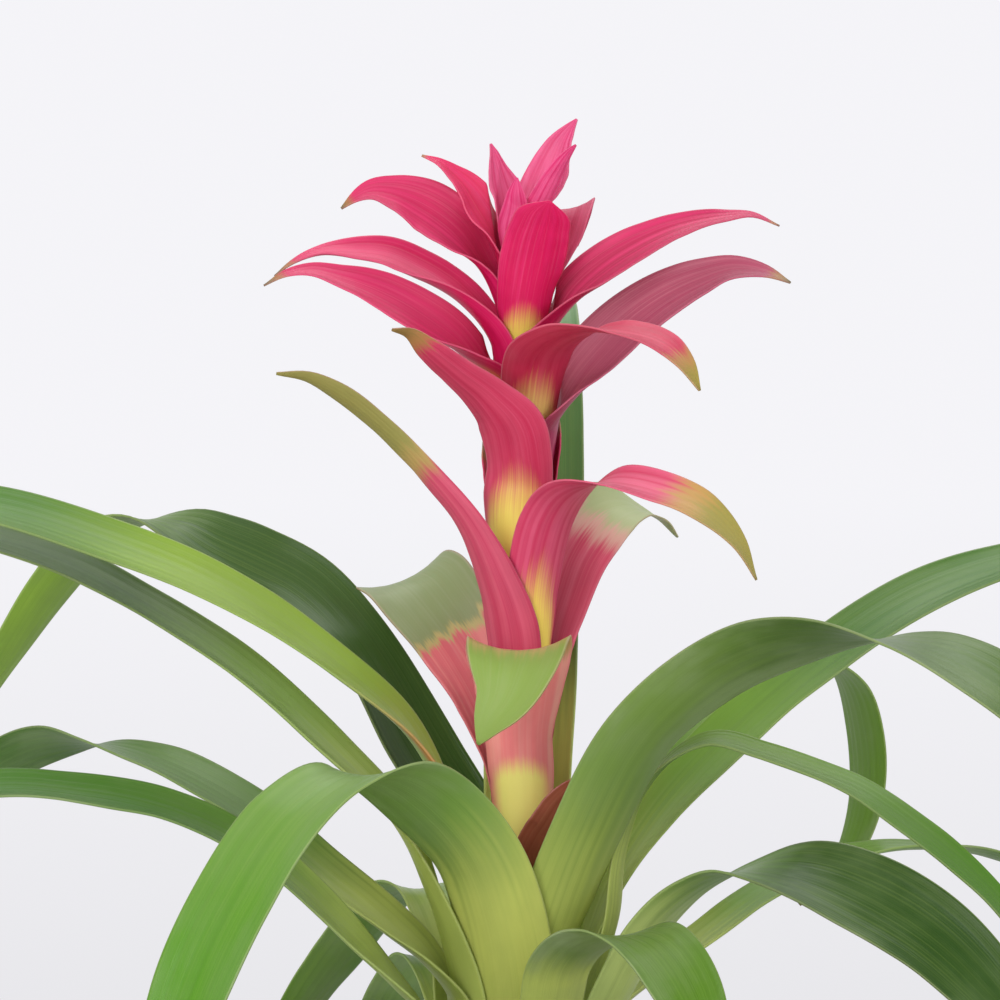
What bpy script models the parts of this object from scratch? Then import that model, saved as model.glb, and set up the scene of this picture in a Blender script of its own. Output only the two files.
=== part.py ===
"""Potted bromeliad in flower: pot, potting mix, flower stem, arching leaves and a spike of clasping bracts.

Metres, +Z up.  The origin is the middle of the pot's foot, standing on the floor.
Every leaf and bract is one thin blade: a sheath that clasps the plant's axis, rolled out along a
spine whose stations are given in millimetres as (x, y, z, half width, roll in degrees).
"""
import math
from dataclasses import dataclass

import bmesh
import bpy
import numpy as np

OBJECT_NAME = "potted_bromeliad"
MM = 0.001

# pot
POT_HEIGHT = 0.118
POT_RIM_RADIUS = 0.065
POT_FOOT_RADIUS = 0.046
POT_WALL = 0.0022
POT_FLOOR = 0.003
RIM_DEPTH = 0.014
RIM_STEP = 0.0026
DRAIN_HOLES = 4
DRAIN_RADIUS = 0.005
DRAIN_RING = 0.028
TURNED_STEPS = 48

# the blades' stations are written for a pot of this height, and rise with a taller one
STATION_POT_HEIGHT = 0.118
PLANT_LIFT = POT_HEIGHT - STATION_POT_HEIGHT

# potting mix
FIT_GAP = 0.0003
SOIL_EDGE_HEIGHT = POT_HEIGHT - 0.015
SOIL_CROWN_HEIGHT = POT_HEIGHT - 0.0125

# flower stem
STEM_FOOT_HEIGHT = POT_HEIGHT - 0.058
STEM_TOP_HEIGHT = POT_HEIGHT + 0.270
STEM_FOOT_RADIUS = 0.0052
STEM_TOP_RADIUS = 0.0030
STEM_STEPS = 20

# leaves
LEAF_THICKNESS = 0.0007
LEAF_FOOT_HEIGHT = SOIL_CROWN_HEIGHT + FIT_GAP + LEAF_THICKNESS
LEAF_FIRST_RADIUS = 0.0072
LEAF_LAYER_GAP = 0.00035
LEAF_LAYER_PITCH = LEAF_THICKNESS + LEAF_LAYER_GAP
LEAF_FLARE = 6.5
LEAF_CLASP = 0.060
LEAF_SHEATH_WRAP = 115.0
LEAF_SHEATH_HALF = 0.0135
LEAF_CHANNEL = 52.0
LEAF_TIP_CHANNEL = 26.0
LEAF_ACROSS = 4
LEAF_ALONG = 15

# bracts
BRACT_THICKNESS = 0.0006
BRACT_STEM_GAP = 0.0008
BRACT_FLARE = 0.15
BRACT_CLASP = 0.050
BRACT_SHEATH_WRAP = 150.0
BRACT_CHANNEL = 88.0
BRACT_TIP_CHANNEL = 34.0
BRACT_ACROSS = 6
BRACT_ALONG = 10

SHEATH_ROWS = 3

POT_COLOUR = (0.36, 0.13, 0.065, 1.0)
SOIL_COLOUR = (0.045, 0.028, 0.018, 1.0)
STEM_COLOUR = (0.42, 0.50, 0.14, 1.0)
LEAF_COLOUR = (0.13, 0.30, 0.055, 1.0)
BRACT_COLOUR = (0.62, 0.03, 0.13, 1.0)


@dataclass(frozen=True)
class Blade:
    """One leaf or bract: its name, its sheath's place and its free stations.

    ``level`` is the layer number of a leaf, counted outward, or the height in millimetres at which
    a bract leaves the stem.
    """
    name: str
    level: float
    rows: tuple


def arching(name, layer, heading, crest, reach, tip_height, half_width):
    """Rows of a plain arching leaf from its heading, crest (reach, height) and tip."""
    crest_reach, crest_height = crest
    ahead = math.cos(math.radians(heading))
    aside = math.sin(math.radians(heading))
    start_reach = 9.0 + 1.15 * layer
    start_height = 122.0 + 0.12 * crest_height - 1.2 * layer
    rows = []
    for share, width in ((0.0, 1.0), (0.35, 1.0), (0.7, 1.0), (1.0, 0.97)):
        out = start_reach + (crest_reach - start_reach) * share
        rise = math.sin(share * math.pi / 2.0)
        up = start_height + (crest_height - start_height) * rise
        rows.append((ahead * out, aside * out, up, half_width * width, 0.0))
    for share, width in ((0.4, 0.9), (0.72, 0.68), (1.0, 0.04)):
        out = crest_reach + (reach - crest_reach) * share
        up = crest_height - (crest_height - tip_height) * share ** 1.7
        rows.append((ahead * out, aside * out, up, half_width * width, 0.0))
    return Blade(name, layer, tuple(rows))


def tucked(name, foot, heading, length, lean):
    """Rows of a short bract that stays close behind the spike."""
    ahead = math.cos(math.radians(heading))
    aside = math.sin(math.radians(heading))
    rows = []
    for share, width in ((0.0, 8.6), (0.4, 8.2), (0.75, 5.6), (1.0, 0.5)):
        out = 9.2 + lean * share ** 1.6
        up = foot + 28.0 + length * share
        rows.append((ahead * out, aside * out, up, width, 0.0))
    return Blade(name, foot, tuple(rows))


LEAVES = (
    Blade("leaf_behind_spike", 0, (
        (0, 10, 165, 11, 0), (1, 13.5, 198, 13.5, 0), (2, 18, 232, 14.5, 0), (3, 23, 263, 14.5, 0),
        (5, 34, 315, 14.5, 0), (5, 50, 346, 14, 0), (5, 66, 361, 13.5, 0), (5, 86, 368, 12.5, 0),
        (5, 106, 364, 11, 0), (6, 124, 354, 8, 0), (6, 138, 339, 0.5, 0))),
    Blade("leaf_left_back", 1, (
        (-6, 9, 165, 10, 0), (-10, 14, 188, 10.5, 0), (-17, 19, 205, 13, 0), (-30, 25, 226, 14, 0),
        (-55, 42, 266, 13, 0), (-69, 52, 279, 12.5, 22), (-84, 62, 286.5, 12, 36),
        (-97, 72, 292, 12, 22), (-108, 79, 297.5, 11.5, 0), (-120, 86, 299.5, 11, -22),
        (-136, 97, 294, 11, -32), (-150, 106, 279, 10.5, -32), (-166, 115, 257, 9, -26),
        (-182, 122, 232, 6, -20), (-194, 127, 208, 0.5, -16))),
    Blade("leaf_right_front", 2, (
        (6.5, -11, 162, 10, 0), (13, -22, 187, 13.5, 0), (21, -29, 208, 14, 0), (36, -41, 237, 14, 4),
        (52, -52, 253, 13.5, 10), (69, -69, 263, 13, 14), (86, -88, 267, 12.5, 4), (100, -104, 267, 12.5, -14),
        (113, -118, 264, 12, -28), (126, -131, 257, 11.5, -34), (139, -142, 245, 10, -30),
        (150, -150, 228, 6.5, -24), (157, -154, 210, 0.5, -18))),
    Blade("leaf_left_high", 3, (
        (-13, -5, 168, 10, 0), (-22, -10, 212, 13.5, 12), (-33, -13, 235, 13.5, 22),
        (-57, -22, 258, 13.5, 30), (-90, -33, 280, 13, 34), (-118, -42, 292, 12.5, 36),
        (-151, -52, 303, 11.5, 34), (-180, -60, 306, 10, 30), (-207, -68, 296, 7.5, 24),
        (-229, -74, 274, 0.5, 18))),
    Blade("leaf_right_hanging", 4, (
        (5, 13, 155, 10.5, 0), (8, 22, 174, 10.5, 0), (19, 33, 192, 13, 0), (36, 49, 216, 13, 0),
        (56, 65, 238, 12.5, 0), (78, 81, 252, 12, 0), (94, 93, 256, 11.5, 4), (105, 102, 248, 11, 8),
        (111, 109, 230, 10.5, 12), (111, 113, 204, 8.5, 12), (103, 114, 185, 4.8, 10),
        (91, 113, 174, 0.5, 6))),
    Blade("leaf_front_left", 5, (
        (-4, -19, 160, 15, 0), (-8, -28, 184, 15, 0), (-13, -35, 199, 14.5, 0),
        (-27, -50, 217.5, 14, -6), (-38, -64, 225.5, 13.5, 6), (-48, -76, 228, 13, 30),
        (-63, -93, 219.5, 13.5, 36), (-80, -108, 195, 13.5, 38), (-92, -117, 168, 12.5, 38),
        (-98, -121, 148, 9, 38), (-102, -122, 128, 0.5, 36))),
    Blade("leaf_right_high", 6, (
        (18, 4, 160, 10, 0), (30, 10, 192, 11, -12), (41, 16, 208, 13, -20), (60, 22, 229, 13.5, -26),
        (88, 30, 253, 13, -28), (126, 40, 277, 12.5, -30), (148, 46, 285, 11.5, -28),
        (174, 52, 290, 9.5, -26), (201, 59, 286, 7.5, -22), (224, 64, 274, 5, -18),
        (240, 68, 256, 0.5, -14))),
    Blade("leaf_left_second", 7, (
        (-20, -6, 160, 14.5, 0), (-29, -12, 191, 14, 12), (-38, -16, 211, 13.5, 20),
        (-55, -20, 230, 13.5, 25), (-86, -24, 258, 13, 28), (-109, -26, 273, 12.5, 28),
        (-133, -28, 286, 12, 27), (-153, -30, 293, 11, 25), (-183, -33, 298, 9.5, 22),
        (-215, -36, 290, 7, 18), (-240, -38, 264, 0.5, 14))),
    Blade("leaf_right_narrow", 8, (
        (19, -6, 152, 8.5, 0), (27.5, -9, 180, 6.5, 0), (30.5, -10.5, 203, 6, 0),
        (37, -12, 220, 5.6, -8), (46, -13, 230, 5.4, -20), (55.5, -14, 234.2, 5.5, -28),
        (70.3, -20, 231.3, 5.8, -30), (84, -28, 227, 6, -30), (97.4, -36, 221.7, 6.2, -30),
        (110.7, -44, 213, 6.2, -30), (123.8, -52, 202.9, 6, -28), (136.8, -60, 189.8, 5.2, -26),
        (150, -68, 170, 3, -20), (156, -72, 158, 0.5, -16))),
    Blade("leaf_left_low_back", 9, (
        (-19, -3, 150, 14, 0), (-30, -5, 169, 14, 14), (-41, -6, 179, 13.5, 22),
        (-65, -4, 198, 13, 28), (-82, 3, 212, 12.5, 30), (-100, 10, 222, 12.5, 30),
        (-116, 19, 228, 11.5, 28), (-130, 27, 231, 10.5, 16), (-143, 35, 231, 9.5, -8),
        (-158, 44, 226, 8.5, -22), (-176, 54, 213, 6, -20), (-188, 60, 196, 0.5, -14))),
    arching("leaf_back_upright", 10, 88.0, (96.0, 232.0), 176.0, 184.0, 13.0),
    Blade("leaf_front_small", 11, (
        (6, -21, 139, 9.5, 0), (9, -32, 158, 10, 0), (11, -41, 169, 10.5, 0), (20, -60, 179.5, 10.5, 4),
        (27, -70, 182, 10.8, -8), (36, -82, 181, 11, -28), (46, -94, 168, 10, -34),
        (51, -100, 150, 6, -30), (53, -102, 138, 0.5, -26))),
    Blade("leaf_right_low", 12, (
        (23, 8, 145, 13, 0), (38, 15, 160, 12.5, 0), (51, 22, 168, 12, -4), (77, 35, 185, 11.2, -8),
        (102, 49, 195, 11, -10), (133, 66, 196, 9.5, -6), (152, 77, 192, 7.5, -4),
        (169, 87, 184, 4.5, -2), (182, 94, 172, 0.5, 0))),
    Blade("leaf_left_low", 13, (
        (-23, -11, 143, 13, 0), (-38, -24, 163, 13.5, 16), (-51, -33, 178, 13, 24),
        (-79, -48, 205, 11.5, 26), (-102, -58, 217, 10.5, 24), (-128, -69, 223, 9.5, 22),
        (-148, -78, 225, 8.5, 22), (-168, -88, 221, 6.8, 22), (-187, -98, 208, 4.5, 20),
        (-199, -104, 192, 0.5, 18))),
    Blade("leaf_right_wide", 14, (
        (22, -15, 142, 11, 0), (30, -20, 163, 12, 2), (43, -27, 184, 12.5, 2), (61, -38, 197, 12.5, -4),
        (78, -52, 199, 13, -28), (98, -66, 193, 13.5, -46), (119, -80, 180, 12.5, -48),
        (129, -86, 170, 11, -46), (140, -92, 156, 7.5, -40), (146, -96, 140, 0.5, -34))),
    Blade("leaf_left_far", 15, (
        (-15, 20, 143, 12, 0), (-22, 30, 170, 12.5, 0), (-30, 44, 184, 12, 0), (-40, 60, 182, 11.5, 0),
        (-51, 77, 169, 11, 0), (-72, 102, 140, 8, 0), (-84, 112, 121, 5, 0), (-92, 118, 102, 0.5, 0))),
    arching("leaf_back_right", 16, 62.0, (66.0, 166.0), 138.0, 118.0, 13.0),
    arching("leaf_left_under", 17, 222.0, (72.0, 146.0), 148.0, 84.0, 13.5),
    arching("leaf_back_left", 18, 114.0, (62.0, 162.0), 132.0, 112.0, 13.0),
    arching("leaf_front_low", 19, 268.0, (70.0, 149.0), 146.0, 84.0, 13.5),
    arching("leaf_right_under", 20, 356.0, (78.0, 148.0), 158.0, 88.0, 13.5),
    arching("leaf_left_bottom", 21, 176.0, (80.0, 149.0), 160.0, 92.0, 13.5),
)

BRACTS = (
    Blade("bract_foot_back", 172, (
        (-8, 0, 192, 9, 0), (-10, 1, 202, 8.5, 0), (-11, 2, 209, 6, 0), (-12, 2, 215, 0.5, 0))),
    Blade("bract_foot_right", 180, (
        (5, -9, 195, 9.4, 0), (8, -12, 202, 10.6, 0), (11.5, -14, 208, 11, 0), (15, -16, 215, 9.5, 0),
        (19, -17.5, 221, 6, 0), (22, -18.5, 225.5, 0.5, 0))),
    Blade("bract_foot_front", 188, (
        (0, -9, 214, 11.5, 0), (-1, -15, 235, 12.5, 0), (-1, -21, 250, 15, 0), (-1, -27, 258, 16.5, 0),
        (-1, -33, 262, 16, 0), (-2, -40, 258, 14.5, -4), (-5, -43, 249, 10, -8),
        (-10, -43, 241, 5, -10), (-13, -42, 235, 0.5, -10))),
    Blade("bract_foot_left", 196, (
        (-4, 6.5, 216, 9.5, 6), (-5, 9.5, 231, 12.5, 14), (-9, 12.5, 245, 14, 18),
        (-17.5, 16.5, 261.5, 15, 22), (-25.5, 20, 272.5, 16, 20), (-32, 27, 279.5, 17, 14),
        (-36.5, 35, 281, 15.5, 10), (-38, 41, 279.5, 11, 6), (-38.5, 45, 276, 5.5, 4),
        (-38.5, 48, 272, 0.5, 2))),
    tucked("bract_back_first", 208, 348.0, 8.0, 1.0),
    Blade("bract_right_pale", 218, (
        (6, 5, 252, 10.5, -30), (7, 8, 264, 11, -44), (11, 11, 278, 11.5, -50), (15, 14, 289, 12, -50),
        (21, 18, 298, 12, -48), (27, 24, 303, 11, -42), (33, 31, 304, 9, -35), (38.5, 38, 302, 6, -28),
        (44, 43, 299, 3.2, -22), (48.5, 47, 294.5, 0.5, -16))),
    Blade("bract_left_ribbon", 228, (
        (-4, -10, 266, 9.5, 0), (-9, -15, 284, 7, 0), (-16, -19, 299, 4.8, 0), (-29, -23, 315, 3.9, 4),
        (-42, -25, 328, 3.8, 8), (-55, -29, 338, 3.4, 6), (-63, -31, 342, 2, 4), (-72, -33, 343, 0.4, 0))),
    Blade("bract_right_arched", 238, (
        (4, -9, 273, 9.5, 0), (6, -15, 289, 10, 0), (9, -22, 300, 10, 0), (15, -32, 308, 10, -6),
        (25, -41, 311, 9.6, -26), (37, -47, 309, 9, -36), (51, -52, 303.5, 7.6, -34),
        (61.5, -55, 293.5, 4.4, -26), (67, -56, 283, 0.4, -16))),
    tucked("bract_back_second", 248, 118.0, 30.0, 5.0),
    Blade("bract_front_wide", 258, (
        (-2, -9, 299, 11, 0), (-2, -15, 318, 11.5, 0), (-4, -20, 327, 11, 0), (-10.5, -25, 335.5, 8, 0),
        (-19, -31, 342.5, 6, 0), (-28, -37, 350, 4.2, 0), (-33, -39, 354.5, 2, 0),
        (-38, -41, 355.5, 0.4, 0))),
    tucked("bract_back_left", 270, 150.0, 26.0, 4.0),
    tucked("bract_back_right", 278, 36.0, 26.0, 4.0),
    Blade("bract_right_low", 287, (
        (9, -1, 325, 11.5, -8), (16, -5, 340, 12, -36), (24, -7, 350, 11.5, -50), (33, -10, 359, 10.5, -52),
        (53, -16, 371, 7.5, -42), (63, -19, 374, 5.2, -34), (72, -21, 373, 3, -24),
        (79, -23, 370, 0.4, -12))),
    Blade("bract_front_centre", 297, (
        (3, -10, 328, 10.5, 0), (4, -14, 337, 11, 0), (5, -21, 344, 11.5, 0), (7, -30, 349, 11.5, 0),
        (13, -40, 353, 11, -2), (28, -57, 354, 9, -14), (41, -67, 349, 6.5, -16), (46, -70, 344, 4, -14),
        (50, -72, 337, 0.4, -12))),
    Blade("bract_left_low", 306, (
        (-9, -4, 338, 12, 8), (-19, -10, 351, 12, 34), (-30, -15, 359, 11, 48), (-42, -18, 366, 9.5, 48),
        (-52, -21, 370, 7.5, 40), (-62, -23, 373, 4.8, 30), (-70, -25, 372, 2.8, 20),
        (-76, -26, 369, 0.4, 10))),
    tucked("bract_back_third", 314, 88.0, 26.0, 6.0),
    Blade("bract_left_mid", 321, (
        (-8, -1, 350, 11, 6), (-18, 1, 365, 11, 26), (-31, 3, 374, 10.5, 40), (-42, 3, 379, 9.5, 42),
        (-51, 2, 380, 8, 36), (-60, 0, 380, 5.5, 26), (-70, -3, 376, 2, 14), (-74, -4, 373, 0.4, 6))),
    Blade("bract_right_high", 328, (
        (8, -3, 352, 11, -8), (15, -8, 365, 11, -34), (25, -11, 374, 10.5, -46), (36, -13, 381, 9.5, -44),
        (47, -15, 386, 7.8, -36), (59, -17, 389, 5.4, -28), (68, -18, 390, 3, -20), (76, -19, 387, 0.4, -10))),
    Blade("bract_centre_high", 335, (
        (0, -9, 357, 9, 0), (1, -12, 367, 9.4, 0), (3, -15, 377, 10.2, 0), (5, -19, 385, 9.4, 0),
        (7, -23, 391, 6.4, 0), (8, -25, 394, 0.5, 0))),
    Blade("bract_left_high", 342, (
        (-7, 1, 362, 9.5, 2), (-13, 1, 377, 9.8, 18), (-21, -2, 387, 10.2, 44), (-31, -3, 394, 9.5, 46),
        (-38, -4, 397, 7.2, 38), (-45, -5, 398, 4.6, 30), (-50, -6, 396, 2.4, 20), (-54, -6, 393, 0.4, 10))),
    Blade("bract_right_back", 349, (
        (3, 6, 366, 8.5, 0), (8, 9, 376, 9.5, 0), (11.5, 11, 385, 9.5, 0), (13.5, 13.5, 391.5, 9.3, 0),
        (14.5, 18, 394.5, 8.6, 0), (15, 24, 393, 7, 0), (16, 29, 389, 4.2, 0), (17, 32, 384, 0.4, 0))),
    Blade("bract_left_top", 356, (
        (-5, 1, 373, 7.5, 6), (-8, 0, 385, 8, 26), (-13, -1, 394, 7.2, 40), (-17, -2, 400, 5.4, 36),
        (-21, -3, 404, 3.4, 28), (-25, -4, 407, 1.9, 18), (-30, -4, 409, 0.4, 8))),
    Blade("tuft_front", 363, (
        (-2, -5, 387, 4.4, 0), (-2, -8, 393, 4, 0), (-2, -9.5, 397.5, 2.8, 0), (-1.5, -10, 402, 0.3, 0))),
    Blade("tuft_left", 368, (
        (-2, 4, 388, 5.4, 0), (-4, 5, 396, 6, 0), (-6, 6, 402, 5.2, 0), (-7.4, 6.6, 407, 3.2, 0),
        (-8.4, 7, 410.5, 1.5, 0), (-9.4, 7, 413.5, 0.3, 0))),
    Blade("tuft_right_short", 373, (
        (3, -5, 388, 4.6, 0), (7, -7.4, 397, 4.4, 0), (10.5, -8, 404, 3.2, 0),
        (13.5, -7.7, 409, 1.6, 0), (16, -7, 412, 0.3, 0))),
    Blade("tuft_right_tall", 378, (
        (2, 3.5, 391, 6.4, 0), (5.5, 5, 397, 7.6, 0), (8, 6, 403, 7.6, 0), (10, 7, 409, 6.2, 0),
        (12.2, 7.5, 414.5, 4, 0), (14.4, 8, 418, 2.1, 0), (16.6, 8, 421, 0.3, 0))),
)


def stem_radius(height):
    """Radius of the flower stem at a height above the floor."""
    share = (height - STEM_FOOT_HEIGHT) / (STEM_TOP_HEIGHT - STEM_FOOT_HEIGHT)
    return STEM_FOOT_RADIUS + (STEM_TOP_RADIUS - STEM_FOOT_RADIUS) * np.clip(share, 0.0, 1.0)


def leaf_sheath_radius(layer, height):
    """Radius at which a leaf of this layer clasps the plant at a height."""
    foot_radius = LEAF_FIRST_RADIUS + LEAF_LAYER_PITCH * layer
    return foot_radius * (1.0 + LEAF_FLARE * (height - LEAF_FOOT_HEIGHT))


def bract_sheath_radius(foot, height):
    """Radius at which a bract rooted at the foot height clasps the stem at a height."""
    return stem_radius(foot) + BRACT_STEM_GAP + BRACT_FLARE * (height - foot)


def stations(blade, foot, radius_at, sheath_half, sheath_wrap, channel, tip_channel):
    """All stations of a blade in metres and radians: x, y, z, half width, roll and wrap."""
    first = blade.rows[0]
    heading = math.atan2(first[1], first[0])
    free_from = first[2] * MM + PLANT_LIFT
    table = []
    for step in range(SHEATH_ROWS):
        height = foot + (free_from - foot) * step / SHEATH_ROWS
        radius = radius_at(height)
        half = min(sheath_half, radius * math.radians(sheath_wrap) / 2.0)
        table.append((radius * math.cos(heading), radius * math.sin(heading), height, half, 0.0,
                      2.0 * half / radius))
    last = len(blade.rows) - 1
    start_wrap = min(math.radians(sheath_wrap), 2.0 * first[3] * MM / radius_at(free_from))
    for index, (x, y, z, half, roll) in enumerate(blade.rows):
        share = index / last
        wrap = math.radians(channel + (tip_channel - channel) * share)
        wrap += max(start_wrap - wrap, 0.0) * max(1.0 - 3.0 * share, 0.0)
        table.append((x * MM, y * MM, z * MM + PLANT_LIFT, half * MM, math.radians(roll), wrap))
    return np.array(table)


def spline(table, steps):
    """Smooth curve through all the stations, sampled at equal steps of length."""
    spans = np.linalg.norm(np.diff(table[:, :3], axis=0), axis=1)
    knots = np.concatenate(([0.0], np.cumsum(spans)))
    slopes = np.gradient(table, knots, axis=0)
    at = np.linspace(0.0, knots[-1], steps + 1)
    cell = np.clip(np.searchsorted(knots, at, side="right") - 1, 0, len(knots) - 2)
    width = knots[cell + 1] - knots[cell]
    t = ((at - knots[cell]) / width)[:, None]
    width = width[:, None]
    return ((2 * t ** 3 - 3 * t ** 2 + 1) * table[cell] + (t ** 3 - 2 * t ** 2 + t) * width * slopes[cell]
            + (3 * t ** 2 - 2 * t ** 3) * table[cell + 1] + (t ** 3 - t ** 2) * width * slopes[cell + 1])


def across_axes(samples):
    """Unit across and inward axes at every sample, carried along the spine without twisting."""
    ahead = np.gradient(samples[:, :3], axis=0)
    ahead /= np.linalg.norm(ahead, axis=1)[:, None]
    start = samples[0, :3]
    side = np.array((-start[1], start[0], 0.0))
    sides = []
    for direction in ahead:
        side = side - direction * side.dot(direction)
        side = side / np.linalg.norm(side)
        sides.append(side)
    sides = np.array(sides)
    inward = np.cross(ahead, sides)
    roll = samples[:, 4:5]
    return sides * np.cos(roll) - inward * np.sin(roll), inward * np.cos(roll) + sides * np.sin(roll)


def blade_points(table, across, along, least_radius):
    """Grid of points of a blade: a list of rows from the foot to the tip.

    ``least_radius`` gives, for heights, how near the plant's axis a point may come, so that a blade
    stays outside the younger ones it clasps.
    """
    samples = spline(table, along)
    sides, inward = across_axes(samples)
    turns = np.linspace(-0.5, 0.5, across + 1)
    rows = []
    for sample, side, into in zip(samples, sides, inward):
        wrap = max(sample[5], 0.02)
        bend = 2.0 * max(sample[3], 0.0003) / wrap
        angle = turns * wrap
        points = (sample[:3] + np.outer(np.sin(angle) * bend, side)
                  + np.outer((1.0 - np.cos(angle)) * bend, into))
        radius = np.maximum(np.hypot(points[:, 0], points[:, 1]), 1e-6)
        points[:, :2] *= np.maximum(least_radius(points[:, 2]) / radius, 1.0)[:, None]
        rows.append(points)
    return rows


def new_object(name, mesh, colour, roughness, collection):
    """Link a named object with its own plain material."""
    obj = bpy.data.objects.new(name, mesh)
    collection.objects.link(obj)
    material = bpy.data.materials.new(name + "_finish")
    material.use_nodes = True
    shader = material.node_tree.nodes["Principled BSDF"]
    shader.inputs["Base Color"].default_value = colour
    shader.inputs["Roughness"].default_value = roughness
    shader.inputs["Metallic"].default_value = 0.0
    mesh.materials.append(material)
    return obj


def blade_object(name, points, thickness, colour, collection):
    """One leaf or bract: a curved grid thickened evenly to both sides."""
    along = len(points) - 1
    across = len(points[0]) - 1
    mesh = bpy.data.meshes.new(name)
    build = bmesh.new()
    bmesh.ops.create_grid(build, x_segments=across, y_segments=along, size=1.0)
    build.verts.ensure_lookup_table()
    for vert in build.verts:
        column = round((vert.co.x + 1.0) / 2.0 * across)
        row = round((vert.co.y + 1.0) / 2.0 * along)
        vert.co = points[row][column]
    build.to_mesh(mesh)
    build.free()
    obj = new_object(name, mesh, colour, 0.45, collection)
    shell = obj.modifiers.new("thickness", "SOLIDIFY")
    shell.thickness = thickness
    shell.offset = 0.0
    shell.use_even_offset = True
    return obj


def turned(name, profile, steps, colour, roughness, collection):
    """Solid of revolution about Z from a closed or axis-to-axis profile of (radius, height)."""
    mesh = bpy.data.meshes.new(name)
    build = bmesh.new()
    verts = [build.verts.new((radius, 0.0, height)) for radius, height in profile]
    for start, end in zip(verts, verts[1:]):
        build.edges.new((start, end))
    build.to_mesh(mesh)
    build.free()
    obj = new_object(name, mesh, colour, roughness, collection)
    lathe = obj.modifiers.new("turn", "SCREW")
    lathe.axis = "Z"
    lathe.steps = steps
    lathe.render_steps = steps
    lathe.use_merge_vertices = True
    lathe.merge_threshold = 0.00005
    lathe.use_smooth_shade = False
    return obj


def pot_inner_radius(height):
    """Inside radius of the pot's wall at a height."""
    share = (height - POT_FLOOR) / (POT_HEIGHT - POT_FLOOR)
    foot = POT_FOOT_RADIUS - POT_WALL
    rim = POT_RIM_RADIUS - RIM_STEP - POT_WALL
    return foot + (rim - foot) * share


def build_pot(collection, cutters):
    """Tapered pot with a stepped rim and drain holes round the middle of its floor."""
    step_height = POT_HEIGHT - RIM_DEPTH
    step_radius = pot_inner_radius(step_height) + POT_WALL
    profile = (
        (0.0, POT_FLOOR),
        (pot_inner_radius(POT_FLOOR), POT_FLOOR),
        (pot_inner_radius(POT_HEIGHT), POT_HEIGHT),
        (POT_RIM_RADIUS - 0.001, POT_HEIGHT),
        (POT_RIM_RADIUS, POT_HEIGHT - 0.001),
        (POT_RIM_RADIUS, step_height + 0.001),
        (POT_RIM_RADIUS - 0.001, step_height),
        (step_radius, step_height),
        (POT_FOOT_RADIUS, 0.001),
        (POT_FOOT_RADIUS - 0.001, 0.0),
        (0.0, 0.0),
    )
    pot = turned("pot", profile, TURNED_STEPS, POT_COLOUR, 0.55, collection)
    for index in range(DRAIN_HOLES):
        angle = math.tau * (index + 0.5) / DRAIN_HOLES
        mesh = bpy.data.meshes.new("drain_%d" % index)
        build = bmesh.new()
        bmesh.ops.create_cone(build, cap_ends=True, segments=16, radius1=DRAIN_RADIUS,
                              radius2=DRAIN_RADIUS, depth=4.0 * POT_FLOOR)
        build.to_mesh(mesh)
        build.free()
        cutter = bpy.data.objects.new("drain_%d" % index, mesh)
        cutter.location = (DRAIN_RING * math.cos(angle), DRAIN_RING * math.sin(angle), POT_FLOOR / 2.0)
        cutter.display_type = "WIRE"
        cutter.hide_render = True
        cutters.objects.link(cutter)
        cut = pot.modifiers.new("drain_%d" % index, "BOOLEAN")
        cut.operation = "DIFFERENCE"
        cut.solver = "EXACT"
        cut.object = cutter
    return pot


def build_soil(collection):
    """Potting mix: fills the pot with a small gap and has a hole for the stem."""
    bottom = POT_FLOOR + FIT_GAP
    hole = STEM_FOOT_RADIUS + FIT_GAP
    deep = STEM_FOOT_HEIGHT - FIT_GAP
    edge = pot_inner_radius(SOIL_EDGE_HEIGHT) - FIT_GAP
    profile = (
        (0.0, deep),
        (hole, deep),
        (hole, SOIL_CROWN_HEIGHT),
        (0.55 * edge, SOIL_CROWN_HEIGHT - 0.0006),
        (edge - 0.002, SOIL_EDGE_HEIGHT + 0.0005),
        (edge, SOIL_EDGE_HEIGHT - 0.001),
        (pot_inner_radius(bottom) - 2.0 * FIT_GAP, bottom),
        (0.0, bottom),
    )
    return turned("potting_mix", profile, TURNED_STEPS, SOIL_COLOUR, 0.95, collection)


def build_stem(collection):
    """Flower stem, thick at the foot and thin under the top tuft."""
    profile = (
        (0.0, STEM_TOP_HEIGHT),
        (stem_radius(STEM_TOP_HEIGHT) - 0.0006, STEM_TOP_HEIGHT),
        (stem_radius(STEM_TOP_HEIGHT), STEM_TOP_HEIGHT - 0.0008),
        (stem_radius(STEM_FOOT_HEIGHT), STEM_FOOT_HEIGHT),
        (0.0, STEM_FOOT_HEIGHT),
    )
    return turned("flower_stem", profile, STEM_STEPS, STEM_COLOUR, 0.5, collection)


def leaf_grid(blade, across=LEAF_ACROSS, along=LEAF_ALONG):
    """Points of a leaf, its foot standing on the potting mix."""
    def radius_at(height):
        return leaf_sheath_radius(blade.level, np.minimum(height, LEAF_FOOT_HEIGHT + LEAF_CLASP))

    table = stations(blade, LEAF_FOOT_HEIGHT, radius_at, LEAF_SHEATH_HALF, LEAF_SHEATH_WRAP,
                     LEAF_CHANNEL, LEAF_TIP_CHANNEL)
    return blade_points(table, across, along, radius_at)


def bract_grid(blade, across=BRACT_ACROSS, along=BRACT_ALONG):
    """Points of a bract, its foot round the stem."""
    foot = blade.level * MM + PLANT_LIFT

    def radius_at(height):
        return bract_sheath_radius(foot, np.minimum(height, foot + BRACT_CLASP))

    table = stations(blade, foot, radius_at, blade.rows[0][3] * MM, BRACT_SHEATH_WRAP,
                     BRACT_CHANNEL, BRACT_TIP_CHANNEL)
    return blade_points(table, across, along, radius_at)


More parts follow.
